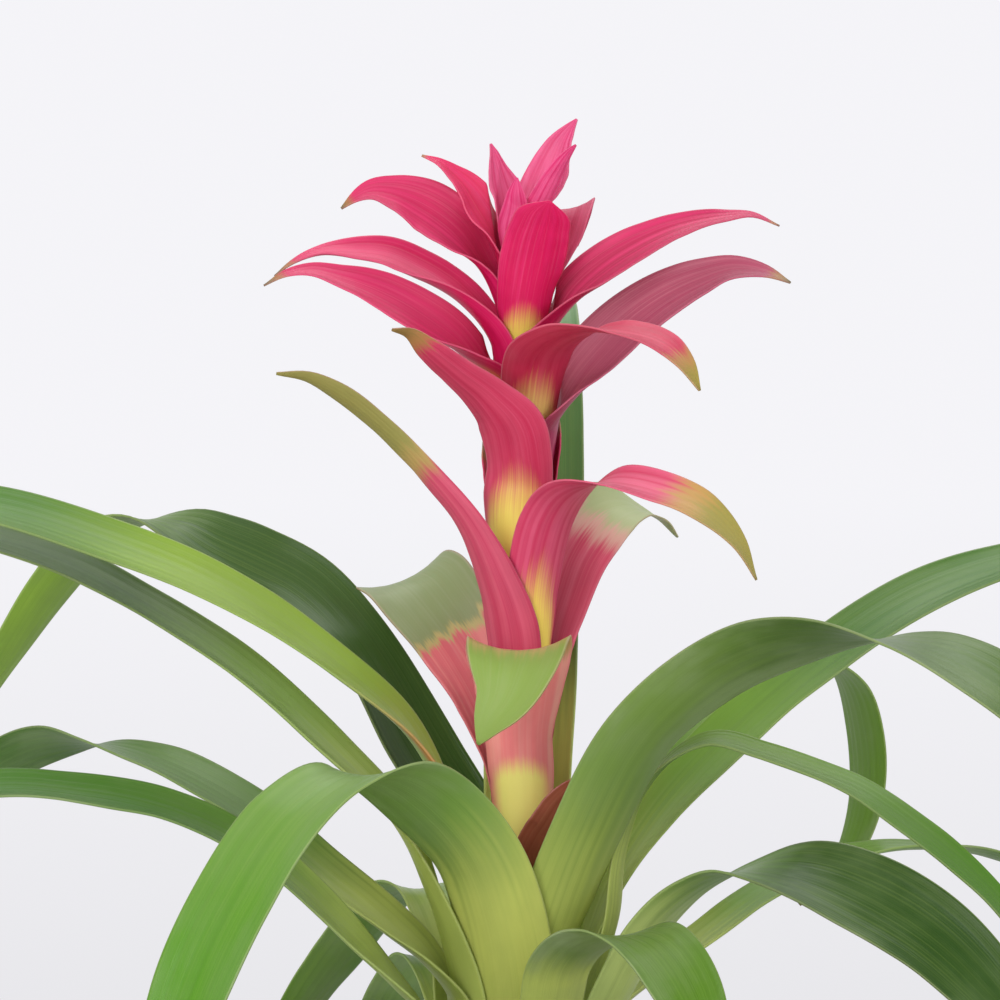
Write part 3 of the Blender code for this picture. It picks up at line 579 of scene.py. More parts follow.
BRACTS: tuple[Blade, ...] = (
    Blade("bract_foot_back", 172, (
        (-8, 0, 192, 9, 0), (-10, 1, 202, 8.5, 0), (-11, 2, 209, 6, 0), (-12, 2, 215, 0.5, 0)),
        BractSkin(flesh=(0.33, 0.085, 0.055), streak=(0.45, 0.15, 0.11), haze=(0.42, 0.20, 0.12), seed=1.0)),
    Blade("bract_foot_right", 180, (
        (5, -9, 195, 9.4, 0), (8, -12, 202, 10.6, 0), (11.5, -14, 208, 11, 0), (15, -16, 215, 9.5, 0),
        (19, -17.5, 221, 6, 0), (22, -18.5, 225.5, 0.5, 0)),
        BractSkin(flesh=(0.34, 0.085, 0.05), streak=(0.48, 0.15, 0.09), haze=(0.45, 0.25, 0.12),
                  seed=2.0)),
    Blade("bract_foot_front", 188, (
        (0, -9, 214, 11.5, 0), (-1, -15, 235, 12.5, 0), (-1, -21, 250, 15, 0), (-1, -27, 258, 16.5, 0),
        (-1, -33, 262, 16, 0), (-2, -40, 258, 14.5, -4), (-5, -43, 249, 10, -8),
        (-10, -43, 241, 5, -10), (-13, -42, 235, 0.5, -10)),
        # Painted light: flesh, streak and glow are lifted brighter than the bract's own colour to make up for
        # the shade of the fold above it.
        BractSkin(flesh=(0.97, 0.27, 0.28), streak=(1, 0.52, 0.44), glow=(1, 0.96, 0.28),
                  glow_low=0.2235, glow_top=0.231, glow_width=0.45, band=(0.50, 0.36, 0.13),
                  tip=(0.19, 0.33, 0.035), tip_from=0.62, tip_full=0.76, pale_top=0.10, seed=3.0)),
    Blade("bract_foot_left", 196, (
        (-4, 6.5, 216, 9.5, 6), (-5, 9.5, 231, 12.5, 14), (-9, 12.5, 245, 14, 18),
        (-17.5, 16.5, 261.5, 15, 22), (-25.5, 20, 272.5, 16, 20), (-32, 27, 279.5, 17, 14),
        (-36.5, 35, 281, 15.5, 10), (-38, 41, 279.5, 11, 6), (-38.5, 45, 276, 5.5, 4),
        (-38.5, 48, 272, 0.5, 2)),
        BractSkin(flesh=(0.66, 0.10, 0.13), streak=(0.86, 0.27, 0.24), haze=(0.72, 0.40, 0.34),
                  band=(0.44, 0.4, 0.12), tip=(0.175, 0.265, 0.085), tip_from=0.59, tip_full=0.635,
                  pale_top=0.15, seed=4.0)),
    tucked("bract_back_first", 208, 348.0, 8.0, 1.0, BractSkin(seed=36.0)),
    Blade("bract_right_pale", 218, (
        (6, 5, 252, 10.5, -30), (7, 8, 264, 11, -44), (11, 11, 278, 11.5, -50), (15, 14, 289, 12, -50),
        (21, 18, 298, 12, -48), (27, 24, 303, 11, -42), (33, 31, 304, 9, -35), (38.5, 38, 302, 6, -28),
        (44, 43, 299, 3.2, -22), (48.5, 47, 294.5, 0.5, -16)),
        BractSkin(flesh=(0.58, 0.035, 0.10), streak=(0.72, 0.14, 0.22), band=(0.62, 0.36, 0.28),
                  tip=(0.34, 0.44, 0.18), tip_from=0.6, tip_full=0.72, pale_top=0.1, seed=5.0)),
    Blade("bract_left_ribbon", 228, (
        (-4, -10, 266, 9.5, 0), (-9, -15, 284, 7, 0), (-16, -19, 299, 4.8, 0), (-29, -23, 315, 3.9, 4),
        (-42, -25, 328, 3.8, 8), (-55, -29, 338, 3.4, 6), (-63, -31, 342, 2, 4), (-72, -33, 343, 0.4, 0)),
        BractSkin(flesh=(0.53, 0.05, 0.11), streak=(0.68, 0.13, 0.2), band=(0.42, 0.30, 0.10),
                  tip=(0.28, 0.27, 0.075), tip_from=0.61, tip_full=0.72, seed=6.0)),
    Blade("bract_right_arched", 238, (
        (4, -9, 273, 9.5, 0), (6, -15, 289, 10, 0), (9, -22, 300, 10, 0), (15, -32, 308, 10, -6),
        (25, -41, 311, 9.6, -26), (37, -47, 309, 9, -36), (51, -52, 303.5, 7.6, -34),
        (61.5, -55, 293.5, 4.4, -26), (67, -56, 283, 0.4, -16)),
        BractSkin(flesh=(0.64, 0.050, 0.13), streak=(0.76, 0.13, 0.24), glow=(0.92, 0.76, 0.14),
                  glow_low=0.268, glow_top=0.292, glow_width=0.55, band=(0.50, 0.30, 0.08),
                  tip=(0.31, 0.28, 0.045), tip_from=0.73, tip_full=0.86, seed=7.0)),
    tucked("bract_back_second", 248, 118.0, 30.0, 5.0, BractSkin(seed=31.0)),
    Blade("bract_front_wide", 258, (
        (-2, -9, 299, 11, 0), (-2, -15, 318, 11.5, 0), (-4, -20, 327, 11, 0), (-10.5, -25, 335.5, 8, 0),
        (-19, -31, 342.5, 6, 0), (-28, -37, 350, 4.2, 0), (-33, -39, 354.5, 2, 0),
        (-38, -41, 355.5, 0.4, 0)),
        BractSkin(flesh=(0.55, 0.035, 0.095), streak=(0.66, 0.085, 0.16), glow=(0.9, 0.78, 0.16),
                  glow_low=0.3, glow_top=0.319, glow_width=0.60, band=(0.36, 0.18, 0.06),
                  tip=(0.25, 0.17, 0.05), tip_from=0.88, tip_full=0.97, seed=8.0)),
    tucked("bract_back_left", 270, 150.0, 26.0, 4.0, BractSkin(seed=30.0)),
    tucked("bract_back_right", 278, 36.0, 26.0, 4.0, BractSkin(seed=31.0)),
    Blade("bract_right_low", 287, (
        (9, -1, 325, 11.5, -8), (16, -5, 340, 12, -36), (24, -7, 350, 11.5, -50), (33, -10, 359, 10.5, -52),
        (53, -16, 371, 7.5, -42), (63, -19, 374, 5.2, -34), (72, -21, 373, 3, -24),
        (79, -23, 370, 0.4, -12)),
        BractSkin(flesh=(0.37, 0.018, 0.085), streak=(0.46, 0.06, 0.13), tip_from=0.94, tip_full=1,
                  pale_top=0.14, seed=9.0)),
    Blade("bract_front_centre", 297, (
        (3, -10, 328, 10.5, 0), (4, -14, 337, 11, 0), (5, -21, 344, 11.5, 0), (7, -30, 349, 11.5, 0),
        (13, -40, 353, 11, -2), (28, -57, 354, 9, -14), (41, -67, 349, 6.5, -16), (46, -70, 344, 4, -14),
        (50, -72, 337, 0.4, -12)),
        BractSkin(flesh=(0.52, 0.022, 0.07), streak=(0.62, 0.05, 0.11), glow=(0.86, 0.68, 0.2),
                  glow_low=0.331, glow_top=0.346, glow_width=0.66, band=(0.42, 0.22, 0.07),
                  tip=(0.33, 0.27, 0.05), tip_from=0.88, tip_full=0.96, pale_top=0.02, seed=10.0)),
    Blade("bract_left_low", 306, (
        (-9, -4, 338, 12, 8), (-19, -10, 351, 12, 34), (-30, -15, 359, 11, 48), (-42, -18, 366, 9.5, 48),
        (-52, -21, 370, 7.5, 40), (-62, -23, 373, 4.8, 30), (-70, -25, 372, 2.8, 20),
        (-76, -26, 369, 0.4, 10)),
        BractSkin(flesh=(0.56, 0.008, 0.090), glow=(0.68, 0.36, 0.08), glow_low=0.340, glow_top=0.354,
                  glow_width=0.6, tip_from=0.93, tip_full=0.99, seed=11.0)),
    tucked("bract_back_third", 314, 88.0, 26.0, 6.0, BractSkin(seed=33.0)),
    Blade("bract_left_mid", 321, (
        (-8, -1, 350, 11, 6), (-18, 1, 365, 11, 26), (-31, 3, 374, 10.5, 40), (-42, 3, 379, 9.5, 42),
        (-51, 2, 380, 8, 36), (-60, 0, 380, 5.5, 26), (-70, -3, 376, 2, 14), (-74, -4, 373, 0.4, 6)),
        BractSkin(flesh=(0.58, 0.008, 0.095), tip_from=0.92, tip_full=0.99, seed=12.0)),
    Blade("bract_right_high", 328, (
        (8, -3, 352, 11, -8), (15, -8, 365, 11, -34), (25, -11, 374, 10.5, -46), (36, -13, 381, 9.5, -44),
        (47, -15, 386, 7.8, -36), (59, -17, 389, 5.4, -28), (68, -18, 390, 3, -20), (76, -19, 387, 0.4, -10)),
        BractSkin(flesh=(0.44, 0.007, 0.07), glow=(0.82, 0.55, 0.28), glow_low=0.350, glow_top=0.360,
                  tip_from=0.96, tip_full=1, seed=13.0)),
    Blade("bract_centre_high", 335, (
        (0, -9, 357, 9, 0), (1, -12, 367, 9.4, 0), (3, -15, 377, 10.2, 0), (5, -19, 385, 9.4, 0),
        (7, -23, 391, 6.4, 0), (8, -25, 394, 0.5, 0)),
        BractSkin(flesh=(0.62, 0.010, 0.095), streak=(0.70, 0.022, 0.14), glow_low=0.355,
                  glow_top=0.366, glow_width=0.6, tip_from=1.1, tip_full=1.2, seed=14.0)),
    Blade("bract_left_high", 342, (
        (-7, 1, 362, 9.5, 2), (-13, 1, 377, 9.8, 18), (-21, -2, 387, 10.2, 44), (-31, -3, 394, 9.5, 46),
        (-38, -4, 397, 7.2, 38), (-45, -5, 398, 4.6, 30), (-50, -6, 396, 2.4, 20), (-54, -6, 393, 0.4, 10)),
        BractSkin(flesh=(0.54, 0.005, 0.085), tip_from=0.94, tip_full=1, seed=15.0)),
    Blade("bract_right_back", 349, (
        (3, 6, 366, 8.5, 0), (8, 9, 376, 9.5, 0), (11.5, 11, 385, 9.5, 0), (13.5, 13.5, 391.5, 9.3, 0),
        (14.5, 18, 394.5, 8.6, 0), (15, 24, 393, 7, 0), (16, 29, 389, 4.2, 0), (17, 32, 384, 0.4, 0)),
        BractSkin(flesh=(0.56, 0.020, 0.10), streak=(0.66, 0.07, 0.18), tip_from=1.1, tip_full=1.2,
                  seed=16.0)),
    Blade("bract_left_top", 356, (
        (-5, 1, 373, 7.5, 6), (-8, 0, 385, 8, 26), (-13, -1, 394, 7.2, 40), (-17, -2, 400, 5.4, 36),
        (-21, -3, 404, 3.4, 28), (-25, -4, 407, 1.9, 18), (-30, -4, 409, 0.4, 8)),
        BractSkin(flesh=(0.66, 0.012, 0.090), tip_from=0.97, tip_full=1.02, seed=17.0)),
    Blade("tuft_front", 363, (
        (-2, -5, 387, 4.4, 0), (-2, -8, 393, 4, 0), (-2, -9.5, 397.5, 2.8, 0), (-1.5, -10, 402, 0.3, 0)),
        TUFT),
    Blade("tuft_left", 368, (
        (-2, 4, 388, 5.4, 0), (-4, 5, 396, 6, 0), (-6, 6, 402, 5.2, 0), (-7.4, 6.6, 407, 3.2, 0),
        (-8.4, 7, 410.5, 1.5, 0), (-9.4, 7, 413.5, 0.3, 0)),
        TUFT),
    Blade("tuft_right_short", 373, (
        (3, -5, 388, 4.6, 0), (7, -7.4, 397, 4.4, 0), (10.5, -8, 404, 3.2, 0),
        (13.5, -7.7, 409, 1.6, 0), (16, -7, 412, 0.3, 0)),
        TUFT),
    Blade("tuft_right_tall", 378, (
        (2, 3.5, 391, 6.4, 0), (5.5, 5, 397, 7.6, 0), (8, 6, 403, 7.6, 0), (10, 7, 409, 6.2, 0),
        (12.2, 7.5, 414.5, 4, 0), (14.4, 8, 418, 2.1, 0), (16.6, 8, 421, 0.3, 0)),
        TUFT),
)


@dataclass(frozen=True)
class Clasp:
    """Cone on which a blade's sheath lies: its radius grows with height until the blade is free."""
    foot: float
    radius: float
    flare: float
    depth: float

    def at(self, height: float) -> float:
        """Radius of the cone at a height."""
        return self.radius + self.flare * (min(height, self.foot + self.depth) - self.foot)


@dataclass(frozen=True)
class BladeMaker:
    """Sizes shared by all blades of one kind, and the way they are made."""
    thickness: float
    sheath_half: float | None
    sheath_wrap: float
    channel: float
    tip_channel: float
    columns: int
    rows: int
    ribs: float
    rib_height: float
    ripple: float
    sheath_rows: int = 3

    def stations(self, blade: Blade, clasp: Clasp) -> np.ndarray:
        """All stations of a blade: x, y, z, half width, roll and wrap in metres and radians.

        Args:
            blade: the blade.
            clasp: the cone its sheath lies on.

        Returns:
            One row for each station.
        """
        first = blade.rows[0]
        heading = math.atan2(first[1], first[0])
        free_from = first[2] * MM
        widest = first[3] * MM if self.sheath_half is None else self.sheath_half
        wrap_limit = math.radians(self.sheath_wrap)
        table = []
        for step in range(self.sheath_rows):
            height = clasp.foot + (free_from - clasp.foot) * step / self.sheath_rows
            radius = clasp.at(height)
            half = min(widest, radius * wrap_limit / 2.0)
            table.append((radius * math.cos(heading), radius * math.sin(heading), height, half, 0.0,
                          2.0 * half / radius))
        last = len(blade.rows) - 1
        start_wrap = min(wrap_limit, 2.0 * first[3] * MM / clasp.at(free_from))
        for index, (x, y, z, half, roll) in enumerate(blade.rows):
            share = index / last
            wrap = math.radians(self.channel + (self.tip_channel - self.channel) * share)
            wrap += max(start_wrap - wrap, 0.0) * max(1.0 - 3.0 * share, 0.0)
            table.append((x * MM, y * MM, z * MM, half * MM, math.radians(roll), wrap))
        return np.array(table)

    def spine(self, table: np.ndarray) -> bpy.types.Object:
        """Smooth spine through the stations, holding each place's axes, half width and wrap.

        Args:
            table: the blade's stations.

        Returns:
            An unlinked object of points, one for each row of the blade.
        """
        spans = np.linalg.norm(np.diff(table[:, :3], axis=0), axis=1)
        knots = np.concatenate(([0.0], np.cumsum(spans)))
        slopes = np.gradient(table, knots, axis=0)
        at = np.linspace(0.0, knots[-1], self.rows + 1)
        cell = np.clip(np.searchsorted(knots, at, side="right") - 1, 0, len(knots) - 2)
        width = knots[cell + 1] - knots[cell]
        t = ((at - knots[cell]) / width)[:, None]
        width = width[:, None]
        points = ((2 * t ** 3 - 3 * t ** 2 + 1) * table[cell] + (t ** 3 - 2 * t ** 2 + t) * width * slopes[cell]
                  + (3 * t ** 2 - 2 * t ** 3) * table[cell + 1] + (t ** 3 - t ** 2) * width * slopes[cell + 1])
        ahead = np.gradient(points[:, :3], axis=0)
        ahead /= np.linalg.norm(ahead, axis=1)[:, None]
        side = np.array((-points[0, 1], points[0, 0], 0.0))
        sides = []
        for direction in ahead:
            side = side - direction * side.dot(direction)
            side = side / np.linalg.norm(side)
            sides.append(side)
        sides = np.array(sides)
        inward = np.cross(ahead, sides)
        roll = points[:, 4:5]
        mesh = bpy.data.meshes.new("spine")
        mesh.from_pydata([tuple(p) for p in points[:, :3]], [], [])
        for name, values in (("side", sides * np.cos(roll) - inward * np.sin(roll)),
                             ("inward", inward * np.cos(roll) + sides * np.sin(roll))):
            mesh.attributes.new(name, "FLOAT_VECTOR", "POINT").data.foreach_set("vector", values.ravel())
        half = np.maximum(points[:, 3], LEAST_HALF_WIDTH)
        wrap = np.maximum(points[:, 5], LEAST_WRAP)
        for name, values in (("half", half), ("wrap", wrap)):
            mesh.attributes.new(name, "FLOAT", "POINT").data.foreach_set("value", values)
        return bpy.data.objects.new("spine", mesh)

    def make(self, blade: Blade, clasp: Clasp, slot: str) -> bpy.types.Object:
        """Make one finished blade that stands for its CAD node.

        Args:
            blade: the blade.
            clasp: the cone its sheath lies on.
            slot: not used.

        Returns:
            The blade's object.
        """
        under = blade.skin.paint(blade.name, Side.UNDER)
        top = blade.skin.paint(blade.name, Side.TOP)
        loft = BladeLoft()
        sizes = {"Columns": self.columns, "Rows": self.rows, "Ribs": self.ribs, "Rib height": self.rib_height,
                 "Ripple": self.ripple, "Seed": blade.skin.seed, "Foot": clasp.foot, "Radius": clasp.radius,
                 "Flare": clasp.flare, "Depth": clasp.depth, "Finish": under}
        piece = loft.grow(blade.name + "_blade", self.spine(self.stations(blade, clasp)), sizes)
        piece.data.materials.append(top)
        shell = piece.modifiers.new("thickness", "SOLIDIFY")
        shell.thickness = self.thickness
        shell.offset = 0.0
        shell.material_offset = Side.TOP.value
        settle(piece, blade.name)
        return piece


def settle(piece: bpy.types.Object, node: str | None) -> None:
    """Fix a piece to the body, in place of its CAD node if it has one.

    Args:
        piece: the finished piece.
        node: the CAD node it stands for, or None.
    """
    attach(piece, "root")
    if node is not None:
        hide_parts(node)
    LOG.info("%s: %d faces", piece.name, len(piece.data.polygons))


class GeometryRecipe:
    """A Geometry Nodes tree with named inputs, run once on an object and turned into a plain mesh."""

    def __init__(self, name: str, inputs: tuple[tuple[str, str], ...]) -> None:
        """Start the tree.

        Args:
            name: the tree's name.
            inputs: name and socket type of each input after the geometry.
        """
        tree = bpy.data.node_groups.new(name, "GeometryNodeTree")
        tree.interface.new_socket(name="Geometry", in_out="INPUT", socket_type="NodeSocketGeometry")
        self.sockets = {label: tree.interface.new_socket(name=label, in_out="INPUT", socket_type=kind).identifier
                        for label, kind in inputs}
        tree.interface.new_socket(name="Geometry", in_out="OUTPUT", socket_type="NodeSocketGeometry")
        self.tree = tree
        self.writer = TreeWriter(tree)
        self.inputs = self.writer.add("NodeGroupInput").outputs

    def signal(self, label: str) -> Signal:
        """One named input as a signal."""
        return Signal(self.writer, self.inputs[label])

    def close(self, geometry: bpy.types.NodeSocket) -> None:
        """End the tree: realize instances, set the finish, and give the result out."""
        writer = self.writer
        real = writer.add("GeometryNodeRealizeInstances", {}, {"Geometry": geometry})
        smooth = writer.add("GeometryNodeSetShadeSmooth", {}, {
            "Geometry": real.outputs[0], "Shade Smooth": True})
        dressed = writer.add("GeometryNodeSetMaterial", {},
                             {"Geometry": smooth.outputs[0], "Material": self.inputs["Finish"]})
        writer.add("NodeGroupOutput", {}, {0: dressed.outputs[0]})

    def grow(self, name: str, base: bpy.types.Object, sizes: dict) -> bpy.types.Object:
        """Run the tree on an object.

        Args:
            name: name of the new piece.
            base: object whose mesh goes in; it is removed afterwards.
            sizes: value of each named input.

        Returns:
            A new object with a plain mesh, at the origin.
        """
        bpy.context.scene.collection.objects.link(base)
        modifier = base.modifiers.new(self.tree.name, "NODES")
        modifier.node_group = self.tree
        for label, value in sizes.items():
            modifier[self.sockets[label]] = value
        graph = bpy.context.evaluated_depsgraph_get()
        mesh = bpy.data.meshes.new_from_object(base.evaluated_get(graph))
        mesh.name = name
        piece = bpy.data.objects.new(name, mesh)
        bpy.context.scene.collection.objects.link(piece)
        bpy.data.objects.remove(base, do_unlink=True)
        return piece


class BladeLoft(GeometryRecipe):
    """Lofts a ribbed, gently rippled blade along a sampled spine, kept outside a cone round the stem."""

    def __init__(self) -> None:
        """Build the tree."""
        super().__init__("blade_loft", (
            ("Columns", "NodeSocketInt"), ("Rows", "NodeSocketInt"), ("Ribs", "NodeSocketFloat"),
            ("Rib height", "NodeSocketFloat"), ("Ripple", "NodeSocketFloat"), ("Seed", "NodeSocketFloat"),
            ("Foot", "NodeSocketFloat"), ("Radius", "NodeSocketFloat"), ("Flare", "NodeSocketFloat"),
            ("Depth", "NodeSocketFloat"), ("Finish", "NodeSocketMaterial")))
        writer = self.writer
        grid = writer.add("GeometryNodeMeshGrid", {}, {
            "Size X": 1.0, "Size Y": 1.0, "Vertices X": self.signal("Columns") + 1.0,
            "Vertices Y": self.signal("Rows") + 1.0})
        place = Arrow(writer, writer.add("GeometryNodeInputPosition").outputs[0])
        turn, aside, _ = place.parts()
        along = aside + 0.5
        row = writer.number("FunctionNodeFloatToInt", {"rounding_mode": "ROUND"}, {
            0: along * self.signal("Rows")})
        centre = self._sampled(place.socket, "FLOAT_VECTOR", row)
        side = self._sampled(self._named("side", "FLOAT_VECTOR"), "FLOAT_VECTOR", row)
        inward = self._sampled(self._named("inward", "FLOAT_VECTOR"), "FLOAT_VECTOR", row)
        half = Signal(writer, self._sampled(self._named("half", "FLOAT"), "FLOAT", row).socket)
        wrap = Signal(writer, self._sampled(self._named("wrap", "FLOAT"), "FLOAT", row).socket)
        bend = half * 2.0 / wrap
        angle = turn * wrap
        open_part = along.step(0.08, 0.3) * (1.0 - along.step(0.8, 1.0))
        rib = (turn * math.tau * self.signal("Ribs")).cosine() * self.signal("Rib height") * open_part
        drift = writer.noise(writer.arrow(turn * 1.5, along * 9.0, self.signal("Seed") + 0.37), 1.0, 1.0)
        edge = abs(turn) * 2.0
        wave = (drift - 0.5) * self.signal("Ripple") * (edge * edge + 0.25) * open_part
        reach = bend + rib + wave
        point = centre + inward * bend + side * (angle.sine() * reach)
        point = point + inward * (angle.cosine() * reach * -1.0)
        x, y, z = point.parts()
        radius = (x * x + y * y).at_least(1e-9) ** 0.5
        rise = z.at_most(self.signal("Foot") + self.signal("Depth")) - self.signal("Foot")
        least = self.signal("Radius") + self.signal("Flare") * rise
        spread = (least / radius).at_least(1.0)
        settled = writer.arrow(x * spread, y * spread, z)
        shaped = writer.add("GeometryNodeSetPosition", {}, {
            "Geometry": grid.outputs["Mesh"], "Position": settled})
        mapped = writer.add("GeometryNodeStoreNamedAttribute", {"data_type": "FLOAT2", "domain": "CORNER"}, {
            "Geometry": shaped.outputs[0], "Name": "UVMap", "Value": grid.outputs["UV Map"]})
        self.close(mapped.outputs[0])

    def _named(self, name: str, kind: str) -> bpy.types.NodeSocket:
        """Named attribute of the spine."""
        node = self.writer.add("GeometryNodeInputNamedAttribute", {"data_type": kind}, {"Name": name})
        return node.outputs["Attribute"]

    def _sampled(self, value: bpy.types.NodeSocket, kind: str, row: Signal) -> Arrow:
        """Value of a spine attribute at a row of the blade."""
        node = self.writer.add("GeometryNodeSampleIndex", {"data_type": kind, "domain": "POINT"}, {
            "Geometry": self.inputs["Geometry"], "Value": value, "Index": row})
        return Arrow(self.writer, node.outputs[0])


class Scatter(GeometryRecipe):
    """Strews lumpy grains over the upward faces of a surface, outside the plant's foot."""

    def __init__(self) -> None:
        """Build the tree."""
        super().__init__("strewn_grains", (
            ("Density", "NodeSocketFloat"), ("Length", "NodeSocketFloat"), ("Flatness", "NodeSocketFloat"),
            ("Clear radius", "NodeSocketFloat"), ("Seed", "NodeSocketInt"), ("Finish", "NodeSocketMaterial")))
        writer = self.writer
        place = Arrow(writer, writer.add("GeometryNodeInputPosition").outputs[0])
        x, y, _ = place.parts()
        _, _, upward = Arrow(writer, writer.add("GeometryNodeInputNormal").outputs[0]).parts()
        radius = (x * x + y * y) ** 0.5
        outside = writer.number("ShaderNodeMath", {"operation": "GREATER_THAN"},
                                {0: radius, 1: self.signal("Clear radius")})
        top = writer.number("ShaderNodeMath", {"operation": "GREATER_THAN"}, {0: upward, 1: 0.7})
        points = writer.add("GeometryNodeDistributePointsOnFaces", {}, {
            "Mesh": self.inputs["Geometry"], "Selection": outside * top, "Density": self.inputs["Density"],
            "Seed": self.inputs["Seed"]})
        ball = writer.add("GeometryNodeMeshIcoSphere", {}, {"Radius": 0.5, "Subdivisions": 2})
        lumps = writer.add("ShaderNodeTexNoise", {"noise_dimensions": "3D"}, {"Vector": place, "Scale": 2.6})
        swell = Arrow(writer, lumps.outputs["Color"]) * 0.9
        shift = writer.add("ShaderNodeVectorMath", {"operation": "SUBTRACT"}, {0: swell, 1: (0.45, 0.45, 0.45)})
        lumpy = writer.add("GeometryNodeSetPosition", {}, {"Geometry": ball.outputs["Mesh"],
                                                           "Offset": shift.outputs[0]})
        turn = writer.add("FunctionNodeRandomValue", {"data_type": "FLOAT_VECTOR"}, {
            "Min": (-0.5, -0.5, 0.0), "Max": (0.5, 0.5, math.tau), "Seed": self.inputs["Seed"]})
        size = writer.add("FunctionNodeRandomValue", {"data_type": "FLOAT"}, {
            2: 0.45, 3: 1.0, "Seed": self.inputs["Seed"]})
        length = Signal(writer, size.outputs[1]) * self.signal("Length")
        grains = writer.add("GeometryNodeInstanceOnPoints", {}, {
            "Points": points.outputs["Points"], "Instance": lumpy.outputs[0], "Rotation": turn.outputs[0],
            "Scale": writer.arrow(length, length * 0.62, length * self.signal("Flatness"))})
        self.close(grains.outputs[0])


def turned(name: str, profile: list[tuple[float, float]], steps: int,
           collapse: float = 1e-6) -> bpy.types.Object:
    """Solid of revolution about Z.

    Args:
        name: the piece's name.
        profile: (radius, height) pairs, from one end on the axis to the other.
        steps: faces round it.
        collapse: distance under which points are merged.

    Returns:
        The object, linked to the scene, its faces outward.
    """
    mesh = bpy.data.meshes.new(name)
    build = bmesh.new()
    verts = [build.verts.new((radius, 0.0, height)) for radius, height in profile]
    edges = [build.edges.new(pair) for pair in zip(verts, verts[1:])]
    bmesh.ops.spin(build, geom=verts + edges, cent=(0, 0, 0), axis=(0, 0, 1), angle=math.tau, steps=steps,
                   use_merge=True, use_normal_flip=False, use_duplicate=False)
    bmesh.ops.remove_doubles(build, verts=build.verts, dist=collapse)
    bmesh.ops.recalc_face_normals(build, faces=build.faces)
    build.to_mesh(mesh)
    build.free()
    piece = bpy.data.objects.new(name, mesh)
    bpy.context.scene.collection.objects.link(piece)
    return piece


def rounded(corners: list[tuple[float, float, float]], steps: int = 5) -> list[tuple[float, float]]:
    """Profile whose corners are rounded.

    Args:
        corners: (radius, height, how far the rounding reaches) of each corner.
        steps: points on each rounding.

    Returns:
        The profile's points.
    """
    points = []
    for index, (radius, height, reach) in enumerate(corners):
        here = Vector((radius, height))
        if reach == 0.0:
            points.append((radius, height))
            continue
        before = Vector(corners[index - 1][:2])
        after = Vector(corners[index + 1][:2])
        start = here + (before - here).normalized() * reach
        end = here + (after - here).normalized() * reach
        for step in range(steps + 1):
            t = step / steps
            point = start * (1 - t) ** 2 + here * (2 * t * (1 - t)) + end * t ** 2
            points.append((point.x, point.y))
    return points


@dataclass(frozen=True)
class PotFinish:
    """Matt terracotta-coloured moulded plastic with fine specks and a little dust."""
    clay: Colour = (0.42, 0.155, 0.078)
    shade: Colour = (0.33, 0.115, 0.058)
    dust: Colour = (0.55, 0.40, 0.31)

    def paint(self) -> bpy.types.Material:
        """Make the material."""
        paint = Paint("pot_plastic")
        place = paint.place()
        x, y, z = place.parts()
        specks = paint.noise(place, 1500.0, 2.0)
        clouds = paint.noise(place, 26.0, 4.0, 0.6)
        rings = paint.noise(paint.arrow((x * x + y * y) ** 0.5 * 900.0, 0.0, z * 900.0), 1.0, 2.0)
        colour = paint.mix(clouds.step(0.35, 0.65), self.clay, self.shade)
        colour = paint.mix(specks.step(0.58, 0.72) * 0.35, colour, self.dust)
        low = 1.0 - z.step(0.001, 0.018)
        colour = paint.mix((low * 0.5 + 0.12) * clouds.step(0.42, 0.62), colour, self.dust)
        relief = specks * 0.6 + rings * 0.4
        return paint.finish(colour, clouds * 0.3 + 0.42, relief, 0.00012, {"Specular IOR Level": 0.4})


@dataclass(frozen=True)
class GrainFinish:
    """Dull, crumbly matter of two tones."""
    name: str
    dark: Colour
    light: Colour
    grain: float
    depth: float = 0.0006

    def paint(self) -> bpy.types.Material:
        """Make the material."""
        paint = Paint(self.name)
        place = paint.place()
        crumbs = paint.noise(place, self.grain, 4.0, 0.65)
        patches = paint.noise(place, self.grain * 0.12, 2.0)
        colour = paint.mix(crumbs.step(0.38, 0.66), self.dark, self.light)
        colour = paint.mix(patches.step(0.5, 0.7) * 0.5, colour, tuple(c * 0.5 for c in self.dark))
        return paint.finish(colour, crumbs * 0.2 + 0.75, crumbs, self.depth, {"Specular IOR Level": 0.3})


@dataclass(frozen=True)
class StemFinish:
    """Smooth green flower stem with faint streaks."""
    green: Colour = (0.36, 0.43, 0.11)
    shade: Colour = (0.20, 0.30, 0.07)

    def paint(self) -> bpy.types.Material:
        """Make the material."""
        paint = Paint("stem_skin")
        x, y, z = paint.place().parts()
        streaks = paint.noise(paint.arrow(x * 1800.0, y * 1800.0, z * 60.0), 1.0, 2.0)
        colour = paint.mix(streaks.step(0.4, 0.65), self.green, self.shade)
        return paint.finish(colour, streaks * 0.2 + 0.4, streaks, 0.00012, {"Specular IOR Level": 0.45})


